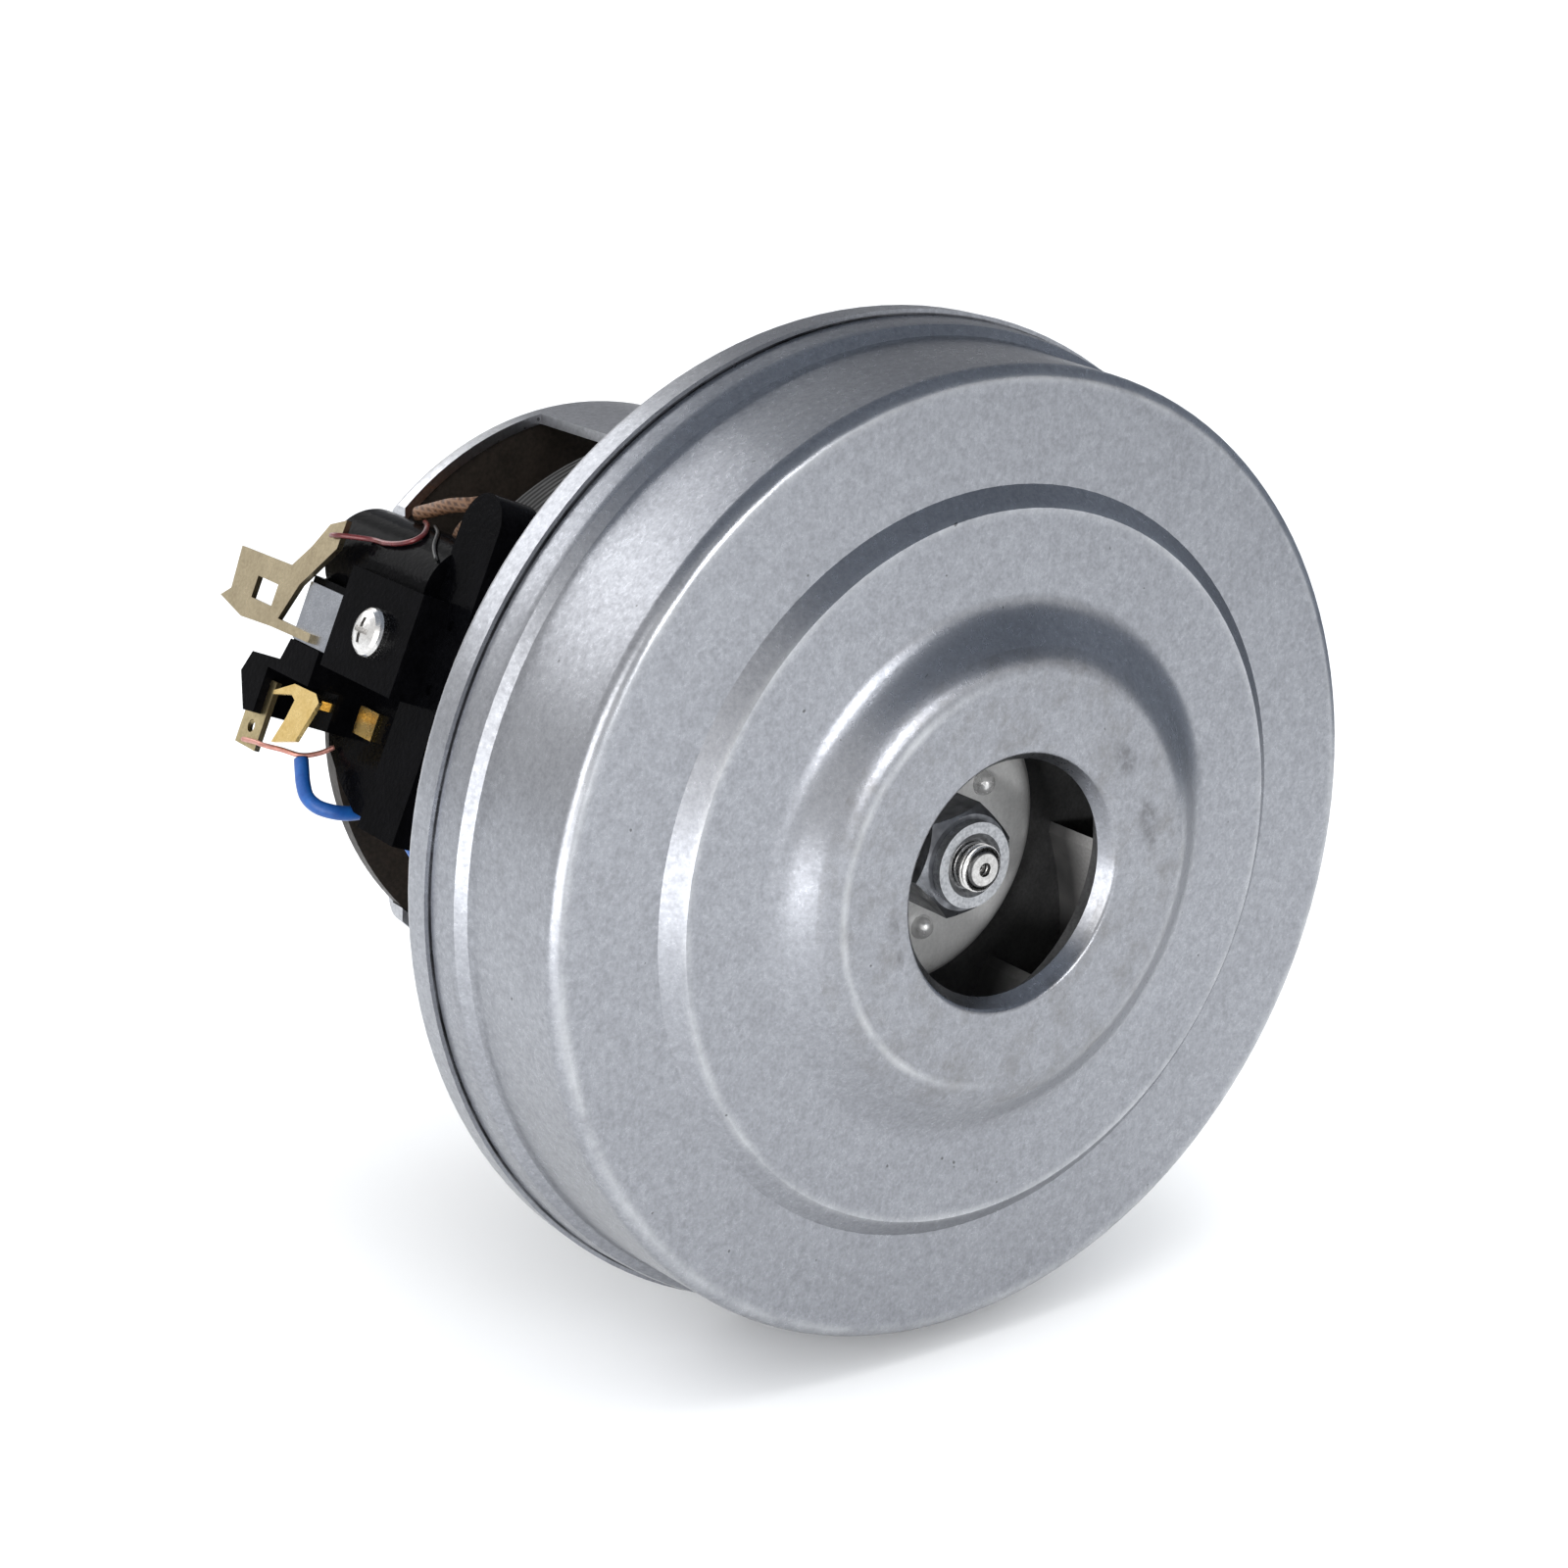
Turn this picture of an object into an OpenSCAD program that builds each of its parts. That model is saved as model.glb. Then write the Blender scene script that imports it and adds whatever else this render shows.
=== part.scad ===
// Vacuum motor unit: single stage fan in a drawn steel case, driving motor with carbon brushes behind it.
// The shaft lies along X with the inlet at +X. The origin is on the axis at the rear edge of the rim.

/* [Fan case] */
// Diameter of the rolled rim, the widest part
rim_d = 130; // [124:0.5:136]
// Width of the rim band along the axis
rim_w = 3.4; // [2.8:0.1:4.2]
// Width of the cover's wide band in front of the rim
band_h = 4.6; // [4:0.1:5.4]
// Sheet thickness of the fan cover and the rim
sheet_t = 0.9; // [0.7:0.1:1.1]
// Distance from the rim's rear edge to the front annulus
case_h = 25.6; // [25:0.1:28]
// Radius of the bend between side wall and front annulus
corner_r = 1.8; // [1.4:0.1:3]
// Diameter at the foot of the raised step
step_d = 95; // [90:0.5:100]
// Height of the raised step
step_h = 2; // [1.4:0.1:2.6]
// Diameter at the foot of the inlet dish
dish_d = 70; // [66:0.5:76]
// Height of the inlet dish above the step
dish_h = 4.1; // [3.4:0.1:5]
// Outer diameter of the flat inlet ring
ring_d = 52; // [48:0.5:56]
// Diameter of the inlet
inlet_d = 30; // [28:0.5:32]
// Gap between the fan and the case wall
fan_room = 5.55; // [5:0.05:6.5]
// Outer bend radius of the inlet lip
lip_r = 1; // [0.8:0.1:1.4]
// Depth of the inlet lip
lip_h = 2.1; // [1.8:0.1:2.6]
// Slope of the inlet lip's wall, from the shaft
lip_tilt = 32; // [25:1:38]

/* [Motor bracket] */
// Sheet thickness of the bracket
bracket_t = 1.2; // [1:0.1:1.5]
// Depth of the bracket drum behind the rim
drum_h = 6.2; // [5.6:0.1:7]
// Rounding of the rim's rear edge
edge_r = 1.6; // [1.2:0.1:2]
// Width of the spokes between the air windows
spoke_w = 9; // [7:0.5:12]

/* [Fan] */
// Diameter of the fan
fan_d = 112; // [106:0.5:114]
// Thickness of the fan plates
fan_t = 0.8; // [0.6:0.1:1]
// Gap between the diffuser and the fan back plate
fan_gap = 1.7; // [1.3:0.1:2.2]
// Number of fan vanes
fan_vane_n = 9; // [7:1:11]
// Diameter of the circle where the fan vanes start
vane_in_d = 57; // [52:0.2:60]
// Height of the fan vanes at the fan's outer edge
vane_out_h = 7.5; // [6.5:0.1:8.5]
// Diameter of the fan hub dome
hub_d = 42; // [38:0.5:46]
// Height of the fan hub dome
hub_h = 7.5; // [7:0.1:8.5]
// Circle diameter of the hub rivets
rivet_pcd = 22.8; // [21:0.2:24]
// Head diameter of a hub rivet
rivet_d = 3.2; // [2.8:0.1:3.8]
// Width across the flats of the fan nut
nut_af = 13; // [12:0.1:14]
// Height of the nut's hexagon
nut_h = 9.2; // [8.4:0.1:10]
// Diameter of the nut's collar
collar_d = 11; // [10:0.1:11.4]
// Height of the nut's collar
collar_h = 1.3; // [1:0.1:2]

/* [Diffuser] */
// Thickness of the diffuser plate
diffuser_t = 2; // [1.6:0.1:2.4]
// Number of return guide vanes
guide_n = 12; // [8:1:14]
// Thickness of the guide vanes
guide_t = 1.4; // [1:0.1:1.8]

/* [Motor] */
// Outer diameter of the yoke
yoke_d = 84.8; // [84:0.1:86]
// Wall thickness of the yoke
yoke_t = 1.4; // [1.2:0.1:1.6]
// Distance from the rim's rear edge to the yoke's rear face
yoke_len = 69; // [68.4:0.1:71]
// Width of the yoke straps
strap_w = 17.2; // [15:0.2:20]
// Width of the yoke's rear ring
ring_w = 4.2; // [3.8:0.1:4.6]
// Distance between the flats of the yoke's rear plate
flat_w = 60; // [57:0.5:62]
// Length of the stator core
stack_l = 30; // [28:0.5:30.6]
// Distance from the rim's rear edge to the stator core
stack_x = 17; // [16.6:0.1:17.6]
// Bore diameter of the stator core
bore_d = 46; // [45.4:0.1:46.4]
// Air gap between stator and armature
air_gap = 0.5; // [0.4:0.05:0.7]
// Shaft diameter
shaft_d = 8; // [7.8:0.1:8.2]
// Thread diameter of the shaft's fan end
thread_d = 6; // [5.6:0.1:6.4]
// Commutator diameter
comm_d = 27; // [26:0.2:28]
// Number of commutator bars
bar_n = 24; // [20:2:24]
// Number of armature slots
slot_n = 12; // [10:1:12]

/* [Field coils] */
// Most wire loops in the outer layer of a field coil
loop_n = 8; // [6:1:8]
// Height of one wire loop and the gap to the next
loop_pitch = 1; // [0.98:0.01:1.04]
// Wire diameter of the field coils
wire_d = 0.54; // [0.48:0.01:0.56]

/* [Bearings] */
// Outer diameter of the bearings
bearing_d = 22; // [21.6:0.1:22.4]
// Width of the bearings
bearing_w = 7; // [6.8:0.1:7.2]
// Ball diameter
ball_d = 3.9; // [3.7:0.05:4]
// Number of balls in a bearing
ball_n = 7; // [6:1:8]
// Thickness of the rubber cushion round the rear bearing
cushion_t = 1; // [0.8:0.1:1.3]

/* [Brush gear] */
// Angle of the brushes above the side
brush_shift = 21; // [17:1:24]
// Distance from the rim's rear edge to the brush centre
brush_x = 58.5; // [58.3:0.1:58.8]
// Width of a carbon brush along the shaft
brush_w = 7; // [6.6:0.1:7.4]
// Height of a carbon brush
brush_h = 5.6; // [5.2:0.1:6]
// Length of a carbon brush
brush_l = 22.5; // [20:0.5:23]
// Wall thickness of the brush tube
tube_t = 0.5; // [0.4:0.1:0.6]
// Height of the holder's outer face above the yoke
holder_u = 7.6; // [7.2:0.1:8.6]
// Number of curls in a brush spring
curl_n = 7; // [5:1:8]
// Wire diameter of a brush spring
spring_wire = 0.6; // [0.5:0.05:0.7]
// Width of the terminal tab
tab_w = 9; // [8.4:0.1:9.4]
// Thickness of the terminals
tab_t = 0.8; // [0.7:0.1:0.9]
// Diameter of the blue lead
lead_d = 2; // [1.7:0.1:2.2]
// Diameter of the bare and enamelled wires
thin_d = 0.7; // [0.6:0.05:0.9]

/* [Fits] */
// Gap between seated pieces
seat_gap = 0.05; // [0.03:0.01:0.08]
// Running gap between a brush and its tube, and between balls and rings
run_gap = 0.05; // [0.03:0.01:0.08]
// Gap between the brush face and the commutator
brush_gap = 0.05; // [0.03:0.01:0.08]

/* [Hidden] */
$fn = 64;
rim_r = rim_d / 2;
skirt_r = rim_r - sheet_t - seat_gap;
band_r = rim_r - 1;
band_x = rim_w + band_h;
step_r = step_d / 2;
dish_r = dish_d / 2;
ring_r = ring_d / 2;
inlet_r = inlet_d / 2;
mouth_r = inlet_r + lip_r * cos(lip_tilt) + (lip_h - lip_r * (1 - sin(lip_tilt))) * tan(lip_tilt);
top_x = case_h + step_h;
front_x = top_x + dish_h;
seat_x = sheet_t - edge_r + seat_gap;
drum_r = rim_r - 5;
floor_x = bracket_t - drum_h;
bearing_r = bearing_d / 2;
cup_x = 2.2;
guide_x = 1.5;
guide_r = drum_r - 2.6;
back_x = guide_x + diffuser_t + fan_gap;
vane_x = back_x + fan_t;
fan_r = fan_d / 2;
wall_r = fan_r + fan_room;
vane_bend = 45;
vane_far = 25.8;
eye_r = inlet_r + 4.7;
shroud_slope = 9.8 / 35.5;
hub_r = hub_d / 2;
hub_x = vane_x + hub_h;
hub_top_r = hub_r - 5.3;
collar_x = hub_x + nut_h;
shaft_end = collar_x + collar_h + 2;
shaft_r = shaft_d / 2;
thread_r = thread_d / 2;
yoke_r = yoke_d / 2;
yoke_in = yoke_r - yoke_t;
flange_r = yoke_r + 7.6;
screw_pcr = yoke_r + 4.1;
window_x = -14;
rear_x = -yoke_len;
plate_x = rear_x + yoke_t;
ring_x = rear_x + ring_w;
stator_r = yoke_in - seat_gap / 2;
stack_front = -stack_x;
stack_rear = -stack_x - stack_l;
bore_r = bore_d / 2;
armature_r = bore_r - air_gap;
shoe_t = 3.5;
pole_half = 16;
coil_w = 8.56;
coil_in = pole_half;
coil_out = pole_half + coil_w;
coil_room = 0.4;
slot_half = coil_out + wire_d + coil_room;
iron_t = 1.81;
slot_top = sqrt(pow(stator_r - iron_t, 2) - pow(slot_half, 2));
coil_low = sqrt(pow(bore_r + shoe_t, 2) - pow(coil_in, 2)) + 0.2;
coil_h = slot_top - coil_low - coil_room;
coil_mid = coil_low + coil_h / 2;
loops = min(loop_n, floor(coil_h / loop_pitch + 0.01));
coil_gap = 0.6;
coil_bend = 6;
coil_wire_out = wire_d + 0.06;
comm_r = comm_d / 2;
bar_in = comm_r - 3;
disc_x0 = plate_x + seat_gap;
disc_x1 = plate_x + 2.4;
disc_r = yoke_in - 0.15;
cushion_r = bearing_r + cushion_t;
boss_x0 = rear_x - 9.6;
rear_bearing_x = boss_x0 + yoke_t + 0.1;
front_bearing_x = cup_x - bearing_w;
pitch_r = (bearing_r + shaft_r) / 2;
race_r = ball_d / 2 + run_gap;
brush_at = -brush_x;
comm_rear = brush_at - 6;
comm_front = brush_at + 6;
wire_lift = 0.06;
tube_w = brush_w / 2 + run_gap + tube_t;
tube_h = brush_h / 2 + run_gap + tube_t;
channel_w = tube_w + seat_gap;
channel_h = tube_h + seat_gap;
sleeve_w = channel_w + 1.5;
sleeve_h = channel_h + 1.5;
tube_u0 = comm_r + 4.5;
face_u = yoke_r + holder_u;
tube_u1 = face_u - 1;
brush_u1 = comm_r + brush_gap + brush_l;
cap_u = tube_u1 + tab_t;
cap_w = channel_w + 0.6;
cap_h = channel_h + 0.6;
cap_gap = 0.15;
box_x0 = brush_at + cap_w + seat_gap;
screw_x = brush_at + 15.4;
screw_w = 1.15;
tongue_x = brush_at + 6.5;
tongue_half = 7;
bar_x0 = brush_at + 19.9;
bar_x1 = brush_at + 29.1;
bar_u = face_u - 4;
plate_u = face_u - 8;
block_u = face_u - 5;
hump_u = face_u - 9;
hump_w = 9;
hump_r = 7.2;
thin_r = thin_d / 2;
sleeve_r = 1;
lead_r = lead_d / 2;
coil_x0 = stack_rear - coil_gap - (coil_out - coil_in);
coil_x1 = stack_front + coil_gap + (coil_out - coil_in);
coil_face = coil_out + coil_wire_out + wire_lift;
thin_lift = thin_r + wire_lift;
black_r = 0.7 * thin_r;
black_lift = black_r + wire_lift;
tab_u = face_u - 2 + tab_t;
strip_u = cap_u + tab_t + thin_r;

// A point on the holder's round cover, at an angle from the outward direction
function on_hump(x, a, lift) = [brush_at + x, -hump_u - (hump_r + lift) * cos(a),
    hump_w + (hump_r + lift) * sin(a)];

// A point of the whole motor, given in the frame of the near brush
function in_side(p) = [p[0], p[1] * cos(brush_shift) - p[2] * sin(brush_shift),
    p[1] * sin(brush_shift) + p[2] * cos(brush_shift)];

blue_route = [
    [brush_at + 1.3, 4 - face_u, -18.9],
    [brush_at + 2.4, 4 - face_u, -20.2],
    [brush_at + 3.7, 4 - face_u, -21.6],
    [brush_at + 5.4, 4.2 - face_u, -23],
    [brush_at + 7, 5.2 - face_u, -23.7],
    [brush_at + 8.2, 7 - face_u, -23.7],
    [brush_at + 8.5, 9 - face_u, -23.4],
    [brush_at + 8.4, 11 - face_u, -22.8],
    [brush_at + 8, 13.4 - face_u, -22],
    [brush_at + 7.4, 16 - face_u, -22],
    in_side([brush_at + 7.6, -coil_face - 5, -coil_mid + 1.5]),
    in_side([brush_at + 8.6, -coil_face - 2, -coil_mid]),
    in_side([brush_at + 8.6, -coil_face, -coil_mid])];
red_route = [
    [brush_at - 1.6, -strip_u, 10.8],
    [brush_at + 0.4, -strip_u, 11.2],
    on_hump(3.4, 24, thin_lift),
    on_hump(6.8, 26, thin_lift),
    on_hump(9.6, 31, thin_lift),
    on_hump(11.4, 39, thin_lift),
    on_hump(11.8, 48, thin_lift),
    on_hump(11, 57, thin_lift),
    on_hump(9.4, 66, thin_lift),
    on_hump(7.4, 75, thin_lift),
    on_hump(4.8, 84, thin_lift)];
copper_route = [
    [brush_at - 9.6, -tab_u - thin_r, -19.6],
    [brush_at - 6, 1 - face_u - thin_r, -19.1],
    [brush_at - 3.4, 1 - face_u - thin_r, -18.9],
    [brush_at - 1.2, 2.2 - face_u, -18.6],
    [brush_at + 0.9, 4 - face_u, -18.4],
    [brush_at + 1.8, 6 - face_u, -17.4],
    [brush_at + 2.4, -plate_u - thin_lift, -16]];
black_route = [
    on_hump(7.4, 84, black_lift),
    on_hump(9.6, 76, black_lift),
    on_hump(11.8, 68, black_lift),
    on_hump(13.4, 60, black_lift),
    on_hump(14.8, 52, black_lift),
    on_hump(16.2, 44, black_lift),
    on_hump(17.8, 37, black_lift),
    on_hump(19.4, 31, black_lift)];
sleeve_route = [
    on_hump(2.4, 84, sleeve_r + wire_lift),
    [brush_at + 5, 8.6 - face_u, 18.4],
    [brush_at + 8, 9 - face_u, 19.7],
    [brush_at + 10.4, 10 - face_u, 20.6],
    [brush_at + 10.8, 12.4 - face_u, 21.2],
    in_side([brush_at + 9.5, -coil_face - 5.2, coil_mid + 4.2]),
    in_side([brush_at + 9.3, -coil_face - 4.8, coil_mid + 1.4]),
    in_side([brush_at + 9.3, -coil_face - 2.4, coil_mid]),
    in_side([brush_at + 9.3, -coil_face, coil_mid])];

// A body of revolution about the shaft axis, drawn as radius and distance along X
module spin() {
    rotate([0, 90, 0]) rotate_extrude() children();
}

// A round bar along the shaft axis
module rod(r, x0, x1) {
    translate([x0, 0, 0]) rotate([0, 90, 0]) cylinder(r = r, h = x1 - x0);
}

// A shape across the shaft axis, drawn in Y and Z
module along(x0, x1) {
    translate([x0, 0, 0]) rotate([90, 0, 90]) linear_extrude(x1 - x0) children();
}

// A copy on each side of the motor, in the brush's own frame: X along the shaft, -Y outwards, Z across
module side(n) {
    rotate([180 * n - brush_shift, 0, 0]) children();
}

// A block in the brush frame
module block(x0, x1, u0, u1, w0, w1) {
    translate([x0, -u1, w0]) cube([x1 - x0, u1 - u0, w1 - w0]);
}

// A flat shape in the brush frame, drawn in X and Z
module leaf(u0, u1) {
    translate([0, -u0, 0]) rotate([90, 0, 0]) linear_extrude(u1 - u0) children();
}

// A round post in the brush frame, pointing outwards
module post(x, w, r, u0, u1) {
    translate([x, -u0, w]) rotate([90, 0, 0]) cylinder(r = r, h = u1 - u0);
}

function unit(v) = v / norm(v);

function tangent(p, i) = unit(p[min(i + 1, len(p) - 1)] - p[max(i - 1, 0)]);

// One ring of a wire: its corners round a path point
function ring_at(p, i, r, up, n) = let(t = tangent(p, i), a = unit(cross(t, up)), b = cross(a, t))
    [for (k = [0:n - 1]) p[i] + r * (cos(360 / n * k) * a + sin(360 / n * k) * b)];

// A wire of n sides along a path
module wire(p, r, up, n) {
    end = len(p) - 1;
    points = [for (i = [0:end]) each ring_at(p, i, r, up, n)];
    sides = [for (i = [0:end - 1], k = [0:n - 1])
        let(a = n * i + k, b = n * i + (k + 1) % n) [a, b, b + n, a + n]];
    first = [for (k = [n - 1:-1:0]) k];
    last = [for (k = [0:n - 1]) n * end + k];
    polyhedron(points, concat([first], sides, [last]), convexity = 8);
}

// A vane in the YZ plane: an arc from the inner to the outer circle, its inner end at the given angle
module vane(r0, r1, bend, far, t, at) {
    start = acos((r0 * r0 + far * far - bend * bend) / (2 * r0 * far));
    rotate(at - start) intersection() {
        difference() {
            circle(r1);
            circle(r0);
        }
        difference() {
            translate([far, 0]) circle(bend + t / 2);
            translate([far, 0]) circle(bend - t / 2);
        }
        translate([-2 * r1, 0.01]) square([4 * r1, 2 * r1]);
    }
}

// Fan case

// Points along a bend in a profile
function bend_points(c, r, a0, a1, n) = [for (i = [0:n])
    let(a = a0 + (a1 - a0) * i / n) c + r * [cos(a), sin(a)]];

// Points along the inlet dish, its outer face or its inner one
function dish_points(d) = [for (i = [0:8])
    [dish_r - (dish_r - ring_r) * i / 8 - d, top_x + dish_h * (1 - cos(22.5 * i)) / 2 - d]];

module fan_cover() {
    corner = [wall_r - corner_r, case_h - corner_r];
    lip = [mouth_r, front_x - lip_r];
    outer = concat(
        [[skirt_r, seat_x], [skirt_r, rim_w + seat_gap], [rim_r - 0.7, rim_w + seat_gap]],
        [[band_r, band_x - 0.8], [band_r - 0.25, band_x]],
        [[wall_r + 1, band_x + 1], [wall_r + 0.7, band_x + 2]],
        bend_points(corner, corner_r, 0, 90, 5),
        [[step_r, case_h], [step_r - 2.5, top_x]],
        dish_points(0),
        bend_points(lip, lip_r, 90, 180 - lip_tilt, 4),
        [[inlet_r, front_x - lip_h]]);
    inner = concat(
        [[inlet_r + sheet_t / cos(lip_tilt), front_x - lip_h]],
        [[mouth_r - (lip_r - sheet_t) * tan(45 - lip_tilt / 2), front_x - sheet_t]],
        [for (i = [8:-1:0]) dish_points(sheet_t)[i]],
        [[step_r - 2.5 - sheet_t, top_x - sheet_t], [step_r - sheet_t, case_h - sheet_t]],
        bend_points(corner, corner_r - sheet_t, 90, 0, 5),
        [[wall_r + 0.7 - sheet_t, band_x + 2], [wall_r + 1 - sheet_t, band_x + 0.6]],
        [[band_r - 0.25 - sheet_t, band_x - 0.6]],
        [[skirt_r - sheet_t, rim_w + seat_gap], [skirt_r - sheet_t, seat_x]]);
    color("silver") spin() polygon(concat(outer, inner));
}

module motor_bracket() {
    edge = [rim_r - edge_r, 0];
    color("silver") difference() {
        spin() polygon(concat(
            [[rim_r - sheet_t, rim_w], [rim_r, rim_w]],
            bend_points(edge, edge_r, 0, -90, 5),
            [[drum_r, -edge_r], [drum_r - bracket_t, -drum_h], [bearing_r, -drum_h], [bearing_r, cup_x]],
            [[bearing_r - 3, cup_x], [bearing_r - 3, cup_x + 1], [bearing_r + bracket_t, cup_x + 1]],
            [[bearing_r + bracket_t, floor_x], [drum_r - 2 * bracket_t, floor_x]],
            [[drum_r - bracket_t, sheet_t - edge_r], [rim_r - sheet_t, sheet_t - edge_r]]));
        along(-drum_h - 1, floor_x + 1) difference() {
            circle(yoke_in - 4);
            circle(bearing_r + 6);
            square([2 * yoke_r, spoke_w], center = true);
            square([spoke_w, 2 * yoke_r], center = true);
        }
        four_places(45) rod(1.6, -drum_h - 1, floor_x + 1);
        four_places(0) rod(1.4, -drum_h - 1, floor_x + 1);
    }
}

// Four screw places round the axis
module four_places(at) {
    for (a = [0:90:270]) rotate([at + a, 0, 0]) translate([0, screw_pcr, 0]) children();
}

module diffuser() {
    plate_front = guide_x + diffuser_t;
    color("dimgray") difference() {
        union() {
            rod(guide_r + 1, guide_x, plate_front);
            along(floor_x, guide_x) for (i = [0:guide_n - 1])
                vane(yoke_in - 3, guide_r, 34, 36, guide_t, 15 + 360 / guide_n * i);
            four_places(0) rod(3.4, floor_x, guide_x);
        }
        rod(bearing_r + bracket_t + 1, floor_x - 1, plate_front + 1);
        four_places(0) rod(1.5, floor_x - 1, plate_front + 1);
        four_places(0) rod(2.7, plate_front - 1.1, plate_front + 1);
    }
}

module diffuser_screws() {
    plate_front = guide_x + diffuser_t;
    color("gray") four_places(0) {
        rod(1.4, -drum_h, plate_front - 0.6);
        rod(2.6, plate_front - 1.1, plate_front - 0.1);
    }
}

// Fan

module fan_back() {
    color("lightgray") difference() {
        rod(fan_r, back_x, vane_x);
        rod(thread_r, back_x - 1, vane_x + 1);
        fan_rivet_places() rod(1.2, back_x - 1, vane_x + 1);
    }
}

// Underside of the fan's front plate at a radius
function under_x(r) = vane_x + vane_out_h + (fan_r - r) * shroud_slope;

module fan_front() {
    neck_r = eye_r + fan_t;
    color("lightgray") spin() polygon([
        [fan_r, under_x(fan_r)], [fan_r, under_x(fan_r) + fan_t], [neck_r, under_x(neck_r) + fan_t],
        [neck_r, under_x(eye_r) + 3.4], [eye_r, under_x(eye_r) + 3.4], [eye_r, under_x(eye_r)]]);
}

module fan_vanes() {
    color("gainsboro") intersection() {
        along(vane_x, under_x(vane_in_d / 2)) for (i = [0:fan_vane_n - 1])
            vane(vane_in_d / 2, fan_r - 0.5, vane_bend, vane_far, fan_t, -9 + 360 / fan_vane_n * i);
        spin() polygon([[0, vane_x], [fan_r, vane_x], [fan_r, under_x(fan_r)],
            [eye_r, under_x(eye_r)], [0, under_x(eye_r)]]);
    }
}

module fan_rivet_places() {
    for (a = [34:120:274]) rotate([a, 0, 0]) translate([0, rivet_pcd / 2, 0]) children();
}

module fan_hub() {
    color("lightgray") difference() {
        spin() polygon(concat(
            [[thread_r, vane_x], [hub_r, vane_x]],
            [for (a = [0:15:90])
                [hub_top_r + (hub_r - hub_top_r) * cos(a), hub_x - (hub_h - 1) * (1 - sin(a))]],
            [[thread_r, hub_x]]));
        fan_rivet_places() rod(1.2, vane_x - 1, hub_x + 1);
    }
}

module fan_rivets() {
    head = rivet_d / 2;
    color("silver") fan_rivet_places() {
        rod(1.2, back_x - 0.6, hub_x);
        spin() polygon(concat([[0, hub_x]], bend_points([0, hub_x], head, 0, 90, 6)));
        rod(1.9, back_x - 0.6, back_x);
    }
}

module fan_nut() {
    tip = nut_af / sqrt(3);
    top = collar_x + collar_h;
    color("silver") difference() {
        union() {
            intersection() {
                translate([hub_x, 0, 0]) rotate([0, 90, 0]) rotate(-16)
                    cylinder(r = tip, h = nut_h, $fn = 6);
                spin() polygon([[0, hub_x], [tip + 1, hub_x], [tip + 1, collar_x - 1.6],
                    [nut_af / 2 - 0.3, collar_x], [0, collar_x]]);
            }
            rod(collar_d / 2, collar_x - 0.1, top);
        }
        rod(thread_r, hub_x - 1, top + 1);
        spin() polygon([[0, top - 1.1], [thread_r, top - 1.1], [thread_r + 1.1, top],
            [thread_r + 1.1, top + 1], [0, top + 1]]);
    }
}

module fan_spacer() {
    color("gray") difference() {
        rod(shaft_r + 2, cup_x, back_x);
        rod(shaft_r, cup_x - 1, back_x + 1);
    }
}

module shaft() {
    tail = boss_x0 - 1.4;
    color("darkgray") spin() polygon(concat(
        [[0, tail], [shaft_r - 0.4, tail], [shaft_r, tail + 0.4], [shaft_r, back_x - 0.2]],
        [[thread_r, back_x - 0.2]],
        [for (x = [-1.9:0.4:-1.1]) each [[thread_r, shaft_end + x], [thread_r - 0.25, shaft_end + x + 0.2]]],
        [[thread_r, shaft_end - 0.7], [thread_r - 1, shaft_end]],
        [[0.9, shaft_end], [0.9, shaft_end - 1.5], [0, shaft_end - 2.1]]));
}

// Bearings

module outer_ring(x) {
    color("gainsboro") difference() {
        rod(bearing_r, x, x + bearing_w);
        rod(bearing_r - 2, x - 1, x + bearing_w + 1);
        translate([x + bearing_w / 2, 0, 0]) spin() translate([pitch_r, 0]) circle(race_r);
    }
}

module inner_ring(x) {
    color("gainsboro") difference() {
        rod(shaft_r + 2, x, x + bearing_w);
        rod(shaft_r, x - 1, x + bearing_w + 1);
        translate([x + bearing_w / 2, 0, 0]) spin() translate([pitch_r, 0]) circle(race_r);
    }
}

module balls(x) {
    color("silver") for (i = [0:ball_n - 1]) rotate([360 / ball_n * i, 0, 0])
        translate([x + bearing_w / 2, pitch_r, 0]) sphere(d = ball_d);
}

module cage(x) {
    color("goldenrod") difference() {
        rod(pitch_r + 0.7, x + bearing_w / 2 - 2.6, x + bearing_w / 2 + 2.6);
        rod(pitch_r - 0.7, x, x + bearing_w);
        for (i = [0:ball_n - 1]) rotate([360 / ball_n * i, 0, 0]) translate([x + bearing_w / 2, 0, 0])
            rotate([-90, 0, 0]) cylinder(r = race_r, h = bearing_r);
    }
}

module front_outer_ring() { outer_ring(front_bearing_x); }
module front_inner_ring() { inner_ring(front_bearing_x); }
module front_balls() { balls(front_bearing_x); }
module front_cage() { cage(front_bearing_x); }
module rear_outer_ring() { outer_ring(rear_bearing_x); }
module rear_inner_ring() { inner_ring(rear_bearing_x); }
module rear_balls() { balls(rear_bearing_x); }
module rear_cage() { cage(rear_bearing_x); }

module bearing_cushion() {
    color("black") difference() {
        rod(cushion_r, rear_bearing_x, rear_bearing_x + bearing_w);
        rod(bearing_r, rear_bearing_x - 1, rear_bearing_x + bearing_w + 1);
    }
}

// Motor frame

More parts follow.
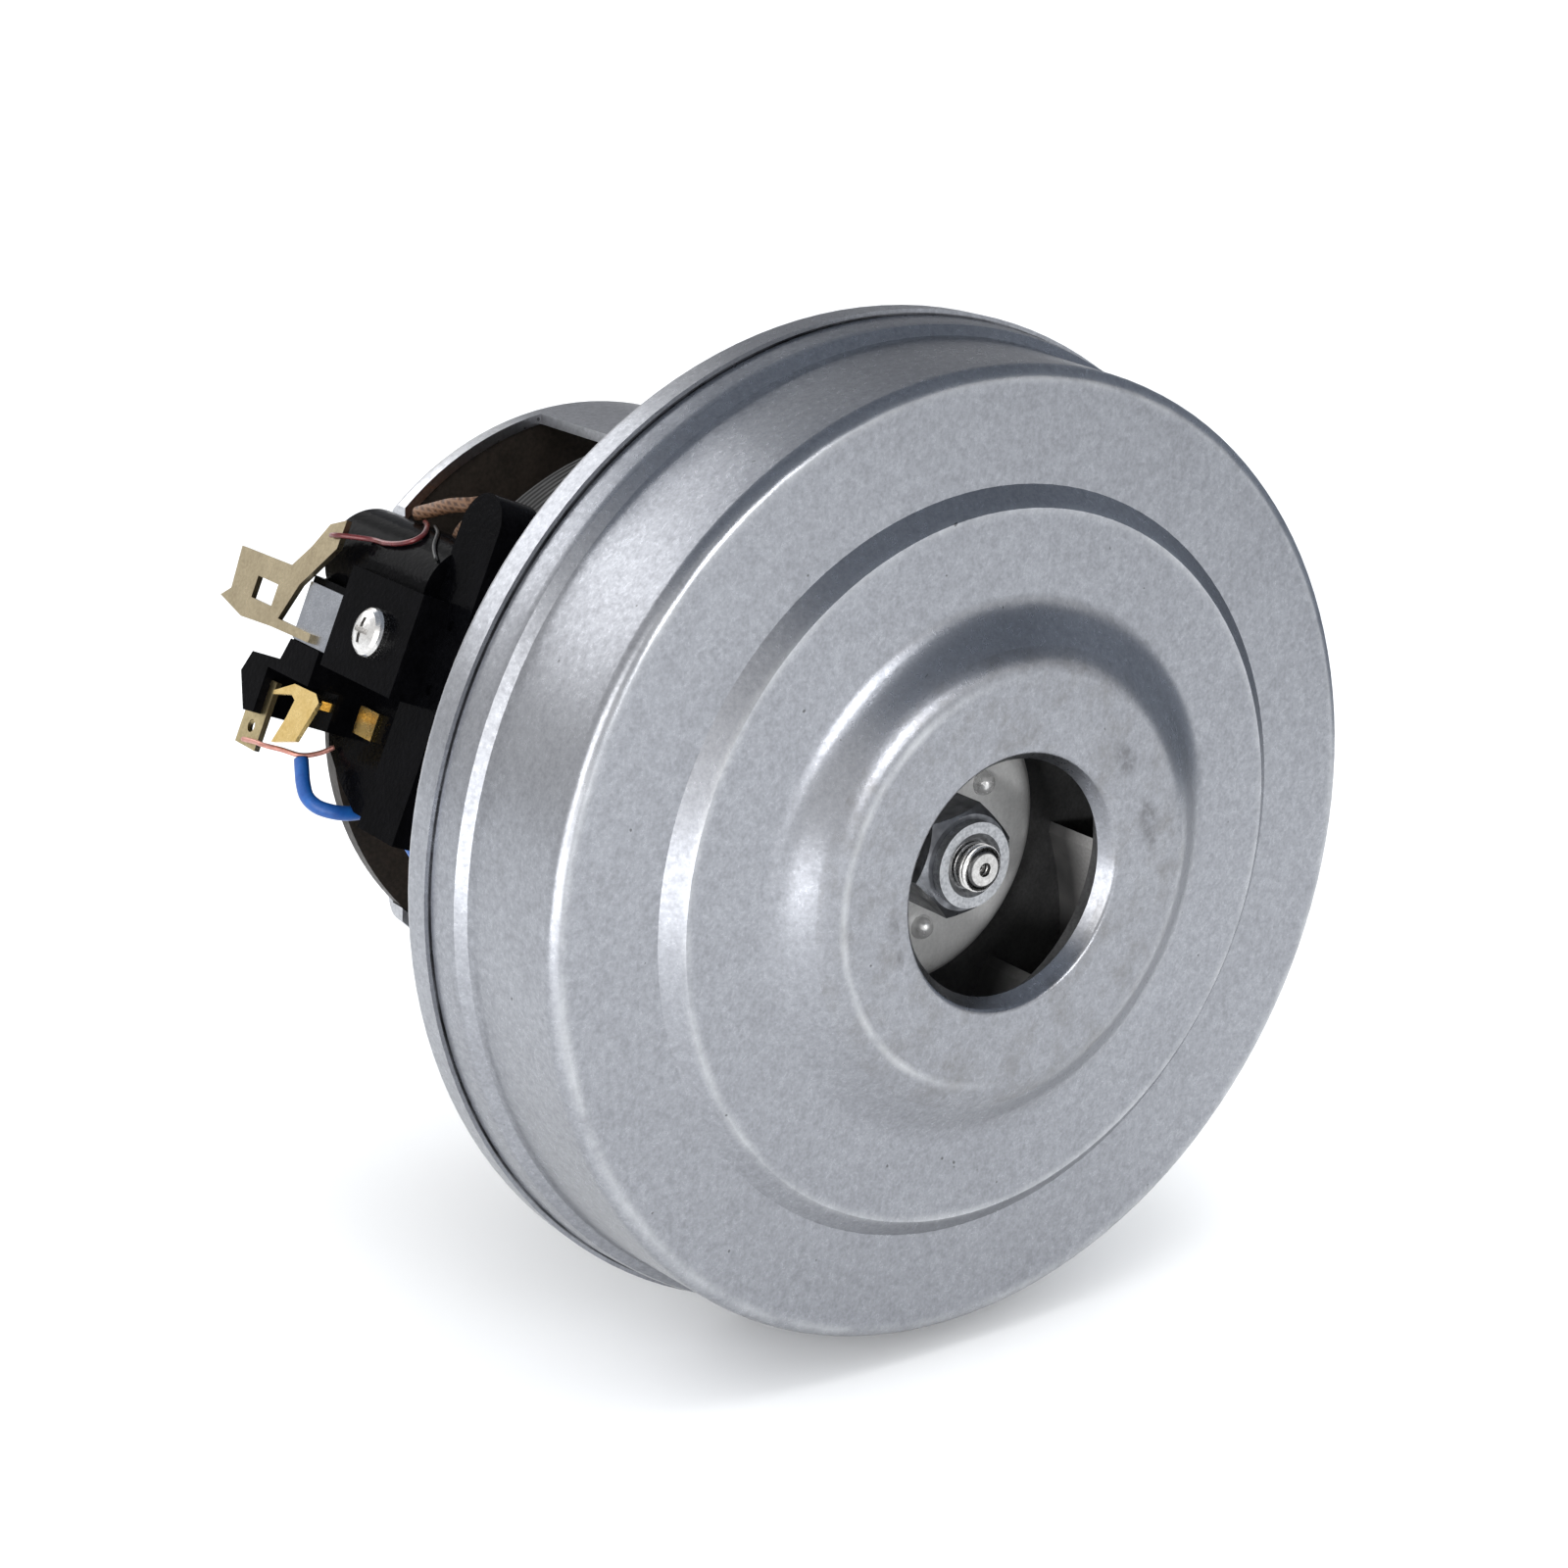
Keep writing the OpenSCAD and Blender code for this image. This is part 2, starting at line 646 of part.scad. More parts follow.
module motor_yoke() {
    color("silver") difference() {
        spin() polygon(concat(
            [[cushion_r, plate_x], [cushion_r, boss_x0 + yoke_t], [shaft_r + 2, boss_x0 + yoke_t]],
            [[shaft_r + 2, boss_x0]],
            bend_points([cushion_r, boss_x0 + yoke_t], yoke_t, -90, 0, 4),
            [[cushion_r + yoke_t, rear_x]],
            bend_points([yoke_r - 2.4, rear_x + 2.4], 2.4, -90, 0, 5),
            [[yoke_r, -drum_h - yoke_t], [flange_r, -drum_h - yoke_t], [flange_r, -drum_h]],
            [[yoke_in, -drum_h], [yoke_in, plate_x]]));
        for (s = [0, 180]) rotate([s, 0, 0]) yoke_cut();
        for (n = [0, 1]) side(n) post(screw_x, screw_w, 1.5, 0, yoke_d);
        four_places(45) rod(1.9, -drum_h - 3, 0);
        for (a = [60:60:360]) rotate([a, 0, 0]) translate([0, 0, cushion_r + 7])
            rod(3, rear_x - 1, plate_x + 1);
    }
}

// What is cut from one side of the yoke: the window, less the tongues, and the flat of the rear plate
module yoke_cut() {
    difference() {
        translate([ring_x, strap_w / 2, -yoke_d]) cube([window_x - ring_x, yoke_d, 2 * yoke_d]);
        for (n = [0, 1]) side(n)
            block(tongue_x, window_x + 1, yoke_in - 5, yoke_d, -tongue_half, tongue_half);
    }
    translate([rear_x - 1, flat_w / 2, -yoke_d]) cube([ring_w + 1, yoke_d, 2 * yoke_d]);
}

module yoke_screws() {
    color("gray") four_places(45) {
        rod(1.6, -drum_h - yoke_t, floor_x);
        rod(3, -drum_h - yoke_t - 2.2, -drum_h - yoke_t);
    }
}

module end_disc() {
    color("#2b2420") difference() {
        rod(disc_r, disc_x0, disc_x1);
        rod(comm_r + 2.5, disc_x0 - 1, disc_x1 + 1);
    }
}

module stator_core() {
    color("#4a4a4c") along(stack_rear, stack_front) difference() {
        union() {
            difference() {
                intersection() {
                    circle(stator_r);
                    square([66, 2 * stator_r], center = true);
                }
                square([2 * slot_half, 2 * slot_top], center = true);
            }
            for (s = [0, 180]) rotate(s) {
                translate([-pole_half, bore_r]) square([2 * pole_half, slot_top + 1 - bore_r]);
                intersection() {
                    circle(bore_r + shoe_t);
                    translate([-bore_r, 13]) square([2 * bore_r, bore_r]);
                }
            }
        }
        circle(bore_r);
    }
}

// The path of a wire loop round a pole: six points at each of its four rounded corners
function loop_point(i) = let(c = floor(i / 6) % 4, a = 90 * c + 18 * (i % 6),
    r = coil_bend + coil_wire_out - wire_d / 2,
    hx = (coil_x1 - coil_x0) / 2 - coil_bend, hy = coil_out - coil_bend,
    sx = (c == 0 || c == 3) ? 1 : -1, sy = (c < 2) ? 1 : -1)
    [(coil_x0 + coil_x1) / 2 + sx * hx + r * cos(a), sy * hy + r * sin(a),
        coil_low + loop_pitch * (0.2 + i / 24)];

loop_path = [for (i = [0:24 * (loops - 1) + 20]) loop_point(i)];

// The least distance between a path and itself, a turn further on
function least_step(p, turn) = min([for (i = [0:len(p) - turn - 3], k = [-2:2])
    norm(p[i + turn + k] - p[i])]);

echo(coil_wire_least_gap = least_step(loop_path, 24) - wire_d);

module coil_core() {
    color("#5a3a22") translate([0, 0, coil_low]) linear_extrude(coil_h) difference() {
        round_box(coil_x0, coil_x1, coil_out, coil_bend);
        round_box(stack_rear - coil_gap, stack_front + coil_gap, coil_in, 1);
    }
}

module round_box(x0, x1, half, r) {
    translate([x0, r - half]) square([x1 - x0, 2 * (half - r)]);
    translate([x0 + r, -half]) square([x1 - x0 - 2 * r, 2 * half]);
    for (x = [x0 + r, x1 - r], y = [r - half, half - r]) translate([x, y]) circle(r);
}

module coil_wire() {
    color("#7a4a26") wire(loop_path, wire_d / 2, [0, 0, 1], 6);
}

module coil_core_top() { coil_core(); }
module coil_core_bottom() { rotate([180, 0, 0]) coil_core(); }
module coil_wire_top() { coil_wire(); }
module coil_wire_bottom() { rotate([180, 0, 0]) coil_wire(); }

// Armature

module slot_places() {
    for (i = [0:slot_n - 1]) rotate(360 / slot_n * i) translate([armature_r - 5, 0]) children();
}

module armature_core() {
    color("#55565a") along(stack_rear, stack_front) difference() {
        circle(armature_r);
        circle(shaft_r);
        slot_places() {
            circle(2.6);
            translate([0, -0.8]) square([7, 1.6]);
        }
    }
}

module armature_winding() {
    fat = armature_r - 3.5;
    color("#8a4f24") {
        spin() polygon(concat(
            [[shaft_r, stack_front], [fat, stack_front]],
            bend_points([fat - 4, stack_front + 4.4], 4, 0, 90, 4), [[shaft_r, stack_front + 8.4]]));
        spin() polygon(concat(
            [[shaft_r, stack_rear], [shaft_r, comm_front]],
            [[comm_r, comm_front], [fat, comm_front + 2.4], [fat, stack_rear]]));
        along(stack_rear - 0.5, stack_front + 0.5) slot_places() circle(2.4);
    }
}

module commutator_hub() {
    color("#2e2622") difference() {
        rod(bar_in, comm_rear, comm_front);
        rod(shaft_r, comm_rear - 1, comm_front + 1);
    }
}

module commutator_bars() {
    color("#b87333") difference() {
        union() {
            rod(comm_r, comm_rear, comm_front);
            rod(comm_r + 1, comm_front - 1.2, comm_front);
        }
        rod(bar_in, comm_rear - 1, comm_front + 1);
        for (i = [0:bar_n / 2 - 1]) rotate([360 / bar_n * i, 0, 0])
            translate([comm_rear - 1, -0.3, -2 * comm_r])
                cube([comm_front - comm_rear + 2, 0.6, 4 * comm_r]);
    }
}

// Brush gear, one set on each side

module holder() {
    color("#1c1c1e") difference() {
        union() {
            block(box_x0, brush_at + 23.5, yoke_r - 3, face_u, -5.6, 8.3);
            block(brush_at - sleeve_w, brush_at + sleeve_w, yoke_r - 12.4, tube_u1, -sleeve_h, sleeve_h);
            leaf(yoke_r - 2.4, bar_u) {
                translate([bar_x0, -23.1]) square([bar_x1 - bar_x0, 41.7]);
                translate([(bar_x0 + bar_x1) / 2, 18.6]) circle((bar_x1 - bar_x0) / 2);
            }
            leaf(plate_u - 4, plate_u) translate([brush_at, 0]) polygon([
                [4.5, -5], [-2.6, -9], [-2.8, -12], [0.4, -16.5], [6, -20], [11.5, -22.6],
                [20.9, -22.8], [20.9, -5]]);
            difference() {
                translate([brush_at - 6.2, -hump_u, hump_w]) rotate([0, 90, 0])
                    cylinder(r = hump_r, h = 26.5);
                rod(yoke_r + seat_gap, tongue_x - 0.4, 0);
            }
            difference() {
                leaf(plate_u, face_u) translate([brush_at, 0]) polygon([
                    [-14.7, -11.1], [-13.3, -8], [-5.6, -7.3], [-4.6, -cap_h - cap_gap],
                    [3.5, -cap_h - cap_gap], [3.5, -14.2], [-10.8, -15.8]]);
                block(brush_at - 8, brush_at + 4, block_u, face_u + 1, -17, -9);
            }
        }
        block(brush_at - channel_w, brush_at + channel_w, 0, face_u + 2, -channel_h, channel_h);
        intersection() {
            rod(yoke_r + seat_gap, tongue_x - 0.4, 0);
            block(tongue_x - 1, 0, 0, 2 * face_u, -tongue_half - 1, tongue_half + 1);
        }
        post(screw_x, screw_w, 1.7, 0, face_u + 1);
        block(brush_at - 12.2, brush_at - 6.4, face_u - 2, tab_u, -17, -10.6);
        for (w = [-3, 5.6]) post(brush_at + 25.5, w, 0.7, bar_u - 0.5, bar_u + 1);
    }
}

module holder_near() { side(0) holder(); }
module holder_far() { side(1) holder(); }

module holder_screws() {
    color("silver") for (n = [0, 1]) side(n) difference() {
        union() {
            post(screw_x, screw_w, 1.5, yoke_in - 0.6, face_u + 1);
            translate([screw_x, -face_u, screw_w]) rotate([90, 0, 0]) rotate_extrude() polygon(concat(
                [[0, 0], [3.3, 0], [3.3, 0.9]],
                [for (i = [1:5]) [3.3 * cos(18 * i), 0.9 + 1.5 * sin(18 * i)]]));
        }
        block(screw_x - 1.7, screw_x + 1.7, face_u + 1.1, face_u + 3, screw_w - 0.35, screw_w + 0.35);
        block(screw_x - 0.35, screw_x + 0.35, face_u + 1.1, face_u + 3, screw_w - 1.7, screw_w + 1.7);
    }
}

module tube() {
    color("#c9a24b") difference() {
        block(brush_at - tube_w, brush_at + tube_w, tube_u0, tube_u1, -tube_h, tube_h);
        block(brush_at - brush_w / 2 - run_gap, brush_at + brush_w / 2 + run_gap, 0, face_u + 1,
            -brush_h / 2 - run_gap, brush_h / 2 + run_gap);
    }
}

module tube_near() { side(0) tube(); }
module tube_far() { side(1) tube(); }

module brush() {
    color("#3a3a3c") difference() {
        block(brush_at - brush_w / 2, brush_at + brush_w / 2, comm_r - 1, brush_u1,
            -brush_h / 2, brush_h / 2);
        rod(comm_r + brush_gap, comm_rear - 1, comm_front + 1);
    }
}

module brush_near() { side(0) brush(); }
module brush_far() { side(1) brush(); }

// The path of a brush spring between the brush and the cap
function curl_point(i) = let(r = brush_h / 2 - spring_wire / 2 - 0.15, a = 45 * i,
    low = brush_u1 + spring_wire / 2, high = tube_u1 - spring_wire / 2)
    [brush_at + r * cos(a), -low - (high - low) * i / (8 * curl_n), r * sin(a)];

curl_path = [for (i = [0:8 * curl_n]) curl_point(i)];

echo(spring_least_gap = least_step(curl_path, 8) - spring_wire);

module spring() {
    color("gray") wire(curl_path, spring_wire / 2, [0, 1, 0], 6);
}

module spring_near() { side(0) spring(); }
module spring_far() { side(1) spring(); }

module cap() {
    color("#9aa0a8") block(brush_at - cap_w, brush_at + cap_w, tube_u1, cap_u, -cap_h, cap_h);
}

module cap_near() { side(0) cap(); }
module cap_far() { side(1) cap(); }

module terminal() {
    top = tab_w / 2 + 0.5;
    low = 0.5 - tab_w / 2;
    color("#b59d6a") leaf(cap_u, cap_u + tab_t) difference() {
        translate([brush_at, 0]) polygon([
            [-24.4, top - 0.3], [-9.6, top], [-6.1, top + 3.4], [-3.3, top + 7.1], [0.5, top + 8.4],
            [0.3, top + 4.4], [-4, top], [-6, top - 2], [-8.6, low + 1.6], [1, low + 1.6], [1, low + 0.4],
            [-9.9, low + 0.2], [-18.5, low - 0.3], [-25.9, low + 1.2], [-23.6, low + 2.7]]);
        translate([brush_at - 17.4, -1.3]) square([6, 3.1]);
    }
}

module terminal_near() { side(0) terminal(); }
module terminal_far() { side(1) terminal(); }

module clip() {
    color("#c9a84e") {
        leaf(face_u - 1.6, face_u - 1) translate([brush_at, 0]) polygon([
            [-6.3, -11.7], [-1.5, -9.6], [4.5, -9.5], [5.9, -10.4], [3.3, -16.5],
            [-2.6, -18.1], [-0.9, -14.2], [-0.2, -11.6], [-1.4, -11.1], [-6.2, -12.2]]);
        block(brush_at, brush_at + 3, block_u, face_u - 1.6, -11.6, -10.4);
    }
}

module clip_near() { side(0) clip(); }
module clip_far() { side(1) clip(); }

module lead_tab() {
    color("#9c8a55") leaf(face_u - 2, tab_u) difference() {
        translate([brush_at - 12.2, -20.4]) square([5.8, 9.8]);
        translate([brush_at - 9.3, -17.5]) circle(0.9);
    }
}

module lead_tab_near() { side(0) lead_tab(); }
module lead_tab_far() { side(1) lead_tab(); }

module contact() {
    color("#d8b968") block(brush_at + 6, brush_at + 11, plate_u, plate_u + 0.8, -13, -9.2);
}

module contact_near() { side(0) contact(); }
module contact_far() { side(1) contact(); }

// Leads and wires, one of each on both sides

module blue_leads() {
    color("#2a62ad") for (n = [0, 1]) side(n) wire(blue_route, lead_r, [1, 0, 0], 8);
}

module red_wires() {
    color("#7c2f36") for (n = [0, 1]) side(n) wire(red_route, thin_r, [0, 0, 1], 8);
}

module copper_wires() {
    color("#b5655a") for (n = [0, 1]) side(n) wire(copper_route, thin_r, [0, 0, 1], 8);
}

module black_wires() {
    color("#151515") for (n = [0, 1]) side(n) wire(black_route, black_r, [0, 0, 1], 8);
}

module wire_sleeves() {
    color("#a5744a") for (n = [0, 1]) side(n) wire(sleeve_route, sleeve_r, [1, 0, 0], 8);
}

fan_cover();
motor_bracket();
diffuser();
diffuser_screws();
fan_back();
fan_front();
fan_vanes();
fan_hub();
fan_rivets();
fan_nut();
fan_spacer();
shaft();
front_outer_ring();
front_inner_ring();
front_balls();
front_cage();
rear_outer_ring();
rear_inner_ring();
rear_balls();
rear_cage();
bearing_cushion();
motor_yoke();
yoke_screws();
end_disc();
stator_core();
coil_core_top();
coil_core_bottom();
coil_wire_top();
coil_wire_bottom();
armature_core();
armature_winding();
commutator_hub();
commutator_bars();
holder_near();
holder_far();
holder_screws();
tube_near();
tube_far();
brush_near();
brush_far();
spring_near();
spring_far();
cap_near();
cap_far();
terminal_near();
terminal_far();
clip_near();
clip_far();
lead_tab_near();
lead_tab_far();
contact_near();
contact_far();
blue_leads();
red_wires();
copper_wires();
black_wires();
wire_sleeves();
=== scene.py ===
import math

import bmesh
import bpy
from mathutils import Matrix, Vector


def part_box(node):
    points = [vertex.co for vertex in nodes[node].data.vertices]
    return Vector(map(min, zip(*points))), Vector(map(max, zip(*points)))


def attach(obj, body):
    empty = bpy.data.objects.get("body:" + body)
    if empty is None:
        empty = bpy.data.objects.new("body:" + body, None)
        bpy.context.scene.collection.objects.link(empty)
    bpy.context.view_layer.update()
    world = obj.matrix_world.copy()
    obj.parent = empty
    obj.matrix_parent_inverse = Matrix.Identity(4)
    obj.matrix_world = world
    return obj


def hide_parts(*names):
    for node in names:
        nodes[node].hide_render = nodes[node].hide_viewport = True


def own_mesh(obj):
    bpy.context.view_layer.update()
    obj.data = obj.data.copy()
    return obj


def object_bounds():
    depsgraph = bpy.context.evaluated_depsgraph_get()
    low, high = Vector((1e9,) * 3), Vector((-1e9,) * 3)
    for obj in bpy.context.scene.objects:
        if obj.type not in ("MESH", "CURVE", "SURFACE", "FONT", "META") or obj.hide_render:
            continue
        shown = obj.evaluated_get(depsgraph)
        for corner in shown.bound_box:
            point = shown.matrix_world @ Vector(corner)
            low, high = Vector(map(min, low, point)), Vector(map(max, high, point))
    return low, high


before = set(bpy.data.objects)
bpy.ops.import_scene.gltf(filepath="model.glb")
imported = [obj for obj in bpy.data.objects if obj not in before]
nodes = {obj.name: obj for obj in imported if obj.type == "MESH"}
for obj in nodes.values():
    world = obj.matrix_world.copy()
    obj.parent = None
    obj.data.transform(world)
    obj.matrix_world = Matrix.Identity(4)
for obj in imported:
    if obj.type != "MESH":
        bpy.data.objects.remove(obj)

cad_box = [list(corner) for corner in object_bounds()]
scene = bpy.context.scene
scene.view_settings.view_transform = "Standard"

SIDES = ("near", "far")

# Camera, at the photograph's viewing angle: lens and sensor in millimetres, place in metres
LENS, SENSOR = 67.5, 36.0
CAMERA_PLACE = (0.28319, -0.22292, 0.11305)
CAMERA_RIGHT = (0.5866, 0.8087, 0.0438)
CAMERA_AHEAD = (-0.7669, 0.5720, -0.2911)


def add_camera():
    data = bpy.data.cameras.new("camera")
    data.lens = LENS
    data.sensor_width = SENSOR
    data.clip_start = 0.01
    data.clip_end = 20.0
    piece = bpy.data.objects.new("camera", data)
    scene.collection.objects.link(piece)
    ahead = Vector(CAMERA_AHEAD).normalized()
    up = Vector(CAMERA_RIGHT).normalized().cross(ahead).normalized()
    turn = Matrix((ahead.cross(up), up, -ahead)).transposed()
    piece.matrix_world = Matrix.Translation(CAMERA_PLACE) @ turn.to_4x4()
    scene.camera = piece


add_camera()

# Factor that brings a radius in metres into a colour ramp's range
RAMP_SCALE = 10.0


class Maker:
    """A material and short ways to add nodes to it."""

    def __init__(self, name):
        self.material = bpy.data.materials.new(name)
        self.material.use_nodes = True
        self.tree = self.material.node_tree
        self.shader = self.tree.nodes["Principled BSDF"]
        self.place = self.add("ShaderNodeTexCoord").outputs["Object"]

    def add(self, kind, **values):
        node = self.tree.nodes.new(kind)
        for key, value in values.items():
            if key in node.inputs:
                node.inputs[key].default_value = value
            else:
                setattr(node, key, value)
        return node

    def link(self, a, b):
        self.tree.links.new(a, b)

    def noise(self, scale, detail=2.0, rough=0.5):
        node = self.add("ShaderNodeTexNoise", Scale=scale, Detail=detail, Roughness=rough)
        self.link(self.place, node.inputs["Vector"])
        return node.outputs["Fac"]

    def bands(self, direction, scale, distortion):
        """Even stripes across a direction."""
        node = self.add("ShaderNodeTexWave", wave_type="BANDS", bands_direction=direction,
                        Scale=scale, Distortion=distortion)
        self.link(self.place, node.inputs["Vector"])
        return node.outputs["Fac"]

    def ramp(self, value, stops):
        node = self.add("ShaderNodeValToRGB")
        marks = node.color_ramp.elements
        while len(marks) < len(stops):
            marks.new(0.5)
        for mark, (at, colour) in zip(marks, stops):
            mark.position = at
            mark.color = (*colour, 1.0) if isinstance(colour, tuple) else (colour, colour, colour, 1.0)
        self.link(value, node.inputs["Fac"])
        return node.outputs["Color"]

    def math(self, kind, a, b=None, clamp=False):
        node = self.add("ShaderNodeMath", operation=kind, use_clamp=clamp)
        for index, value in enumerate((a, b)):
            if value is None:
                continue
            if isinstance(value, (int, float)):
                node.inputs[index].default_value = value
            else:
                self.link(value, node.inputs[index])
        return node.outputs[0]

    def weighted(self, *pairs):
        """The sum of values, each times its share."""
        total = None
        for value, share in pairs:
            part = self.math("MULTIPLY", value, share)
            total = part if total is None else self.math("ADD", total, part)
        return total

    def mix(self, factor, a, b):
        node = self.add("ShaderNodeMix", data_type="RGBA", blend_type="MIX")
        for socket, value in zip((node.inputs[0], node.inputs[6], node.inputs[7]), (factor, a, b)):
            if isinstance(value, tuple):
                socket.default_value = (*value, 1.0)
            elif isinstance(value, (int, float)):
                socket.default_value = value
            else:
                self.link(value, socket)
        return node.outputs[2]

    def axes(self):
        """The place along the shaft, across it and upwards."""
        split = self.add("ShaderNodeSeparateXYZ")
        self.link(self.place, split.inputs[0])
        return split.outputs[0], split.outputs[1], split.outputs[2]

    def radius(self, across, upward):
        """The distance from the shaft's axis."""
        y2 = self.math("MULTIPLY", across, across)
        z2 = self.math("MULTIPLY", upward, upward)
        return self.math("SQRT", self.math("ADD", y2, z2))

    def rings(self, radius, rings):
        """Strong in the middle of each ring, nothing at its ends and between the rings."""
        stops = []
        for inner, middle, outer, strength in rings:
            stops += [(inner * RAMP_SCALE, 0.0), (middle * RAMP_SCALE, strength), (outer * RAMP_SCALE, 0.0)]
        return self.ramp(self.math("MULTIPLY", radius, RAMP_SCALE), stops)

    def spot(self, place, turn, half):
        """1 in the middle of an oval patch, 0 outside it."""
        mapping = self.add("ShaderNodeMapping", vector_type="TEXTURE")
        mapping.inputs["Location"].default_value = place
        mapping.inputs["Rotation"].default_value = (turn, 0.0, 0.0)
        mapping.inputs["Scale"].default_value = half
        self.link(self.place, mapping.inputs["Vector"])
        length = self.add("ShaderNodeVectorMath", operation="LENGTH")
        self.link(mapping.outputs["Vector"], length.inputs[0])
        return self.math("SUBTRACT", 1.0, length.outputs["Value"], clamp=True)

    def bump(self, height, distance):
        node = self.add("ShaderNodeBump", Strength=1.0, Distance=distance)
        self.link(height, node.inputs["Height"])
        self.link(node.outputs["Normal"], self.shader.inputs["Normal"])

    def finish(self, colour, rough, metal=0.0):
        self.link(colour, self.shader.inputs["Base Color"])
        self.link(rough, self.shader.inputs["Roughness"])
        self.shader.inputs["Metallic"].default_value = metal
        return self.material


# How smooth the varnish on enamelled wire is
COAT_ROUGH = 0.12


def plain_surface(name, low, high, metal, rough, blotch, grain, height, specular=0.5, coat=0.0):
    """A surface whose colour and roughness vary with broad blotches and a fine grain."""
    m = Maker(name)
    broad = m.noise(blotch, 3.0, 0.6)
    fine = m.noise(grain, 2.0, 0.55)
    both = m.weighted((broad, 0.55), (fine, 0.45))
    colour = m.ramp(both, [(0.32, low), (0.68, high)])
    roughness = m.ramp(both, [(0.3, rough[1]), (0.7, rough[0])])
    m.bump(fine, height)
    m.shader.inputs["Specular IOR Level"].default_value = specular
    m.shader.inputs["Coat Weight"].default_value = coat
    m.shader.inputs["Coat Roughness"].default_value = COAT_ROUGH
    return m.finish(colour, roughness, metal)


# Places along the shaft and out from it, in metres
RING_FACE_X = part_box("fan_cover")[1].x
RING_X = RING_FACE_X - 0.0011
COLLAR_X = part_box("fan_nut")[1].x - 0.00125
THREAD_X = 0.0195
# Where the vanes' painted shade is darkest, and the bright front edge where it ends
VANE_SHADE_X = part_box("fan_vanes")[0].x + 0.003
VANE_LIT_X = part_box("fan_vanes")[1].x
SEAM_X, SEAM_HALF, SEAM_R = 0.0034, 0.00032, 0.0645

# Painted highlights along the cover's bends, broken up like rubbed metal: inner end, middle and outer end
# from the shaft in metres, and strength
STEP_HIGHLIGHT = (0.044, 0.04495, 0.04555, 0.4)
FACE_HIGHLIGHT = (0.0592, 0.0602, 0.0612, 0.35)
RING_HIGHLIGHT = (0.025, 0.02585, 0.0266, 0.5)

# Dark finger marks on the inlet ring: Y and Z, turn in degrees, half length and half width
SMUDGES = (
    (0.0212, 0.0046, 106.0, 0.0046, 0.0017),
    (0.0167, 0.0133, 128.0, 0.003, 0.002),
    (-0.0183, -0.0025, -79.0, 0.0026, 0.0009),
    (-0.0171, -0.0064, -70.0, 0.0013, 0.0006),
)
SMUDGE_DEPTH = 0.01

# Colours of the marks on galvanised sheet: grime, finger marks and pits, a painted highlight and the
# painted shade of the seam
GRIME = (0.16, 0.155, 0.15)
FINGER_MARK = (0.11, 0.11, 0.115)
# Painted highlight: near-white colour that stands in for light on the bends
PAINTED_HIGHLIGHT = (0.8, 0.81, 0.82)
PIT = (0.08, 0.08, 0.08)
# Painted shade: near-black colour for the shade in the seam between cover and bracket rim
SEAM_SHADE = (0.01, 0.01, 0.011)


def zinc(name, low, high, rough):
    """Galvanised sheet: a sparkling grain, painted highlights on the bends, painted shade in the seam and a
    handled inlet ring.
    """
    m = Maker(name)
    grain = m.noise(2400.0, 3.0, 0.65)
    speck = m.noise(1000.0, 2.0, 0.5)
    cloud = m.noise(70.0, 3.0, 0.5)
    both = m.weighted((grain, 0.5), (speck, 0.38), (cloud, 0.12))
    colour = m.ramp(both, [(0.37, low), (0.63, high)])
    along, across, upward = m.axes()
    radius = m.radius(across, upward)

    front = m.math("GREATER_THAN", along, RING_X)
    dirt = m.ramp(m.noise(190.0, 5.0, 0.7), [(0.48, 0.06), (0.74, 0.6)])
    colour = m.mix(m.math("MULTIPLY", front, dirt), colour, GRIME)
    patchy = m.ramp(m.noise(900.0, 3.0, 0.6), [(0.4, 0.3), (0.6, 1.0)])
    for y, z, turn, long, wide in SMUDGES:
        spot = m.spot((RING_FACE_X, y, z), math.radians(turn), (SMUDGE_DEPTH, long, wide))
        dark = m.math("MULTIPLY", m.ramp(spot, [(0.0, 0.0), (0.5, 0.6)]), patchy)
        colour = m.mix(dark, colour, FINGER_MARK)

    # Painted highlights: bright lines on the bends all round, and on the inlet ring's edge only on its
    # left, where the light falls
    leftward = m.math("MULTIPLY", across, -60.0, clamp=True)
    ring_highlight = m.math("MULTIPLY", leftward, m.rings(radius, (RING_HIGHLIGHT,)))
    bend_highlight = m.math("ADD", m.rings(radius, (STEP_HIGHLIGHT, FACE_HIGHLIGHT)), ring_highlight)
    broken_highlight = m.math("MULTIPLY", bend_highlight, m.ramp(m.noise(160.0, 3.0), [(0.35, 0.2), (0.65, 0.8)]))
    colour = m.mix(broken_highlight, colour, PAINTED_HIGHLIGHT)
    pits = m.ramp(m.noise(820.0, 1.0), [(0.8, 0.0), (0.815, 0.75)])
    colour = m.mix(pits, colour, PIT)

    # Painted shade in the seam between the bracket's rim and the cover, broken up by noise
    beside = m.math("COMPARE", along, SEAM_X)
    beside.node.inputs[2].default_value = SEAM_HALF
    seam = m.math("MULTIPLY", beside, m.math("LESS_THAN", radius, SEAM_R))
    seam_patches = m.ramp(m.noise(110.0, 3.0, 0.6), [(0.35, 0.5), (0.65, 0.92)])
    colour = m.mix(m.math("MULTIPLY", seam, seam_patches), colour, SEAM_SHADE)
    roughness = m.ramp(both, [(0.32, rough[1]), (0.68, rough[0])])
    m.bump(m.math("ADD", grain, m.math("MULTIPLY", speck, 0.6)), 0.000012)
    return m.finish(colour, roughness, 1.0)


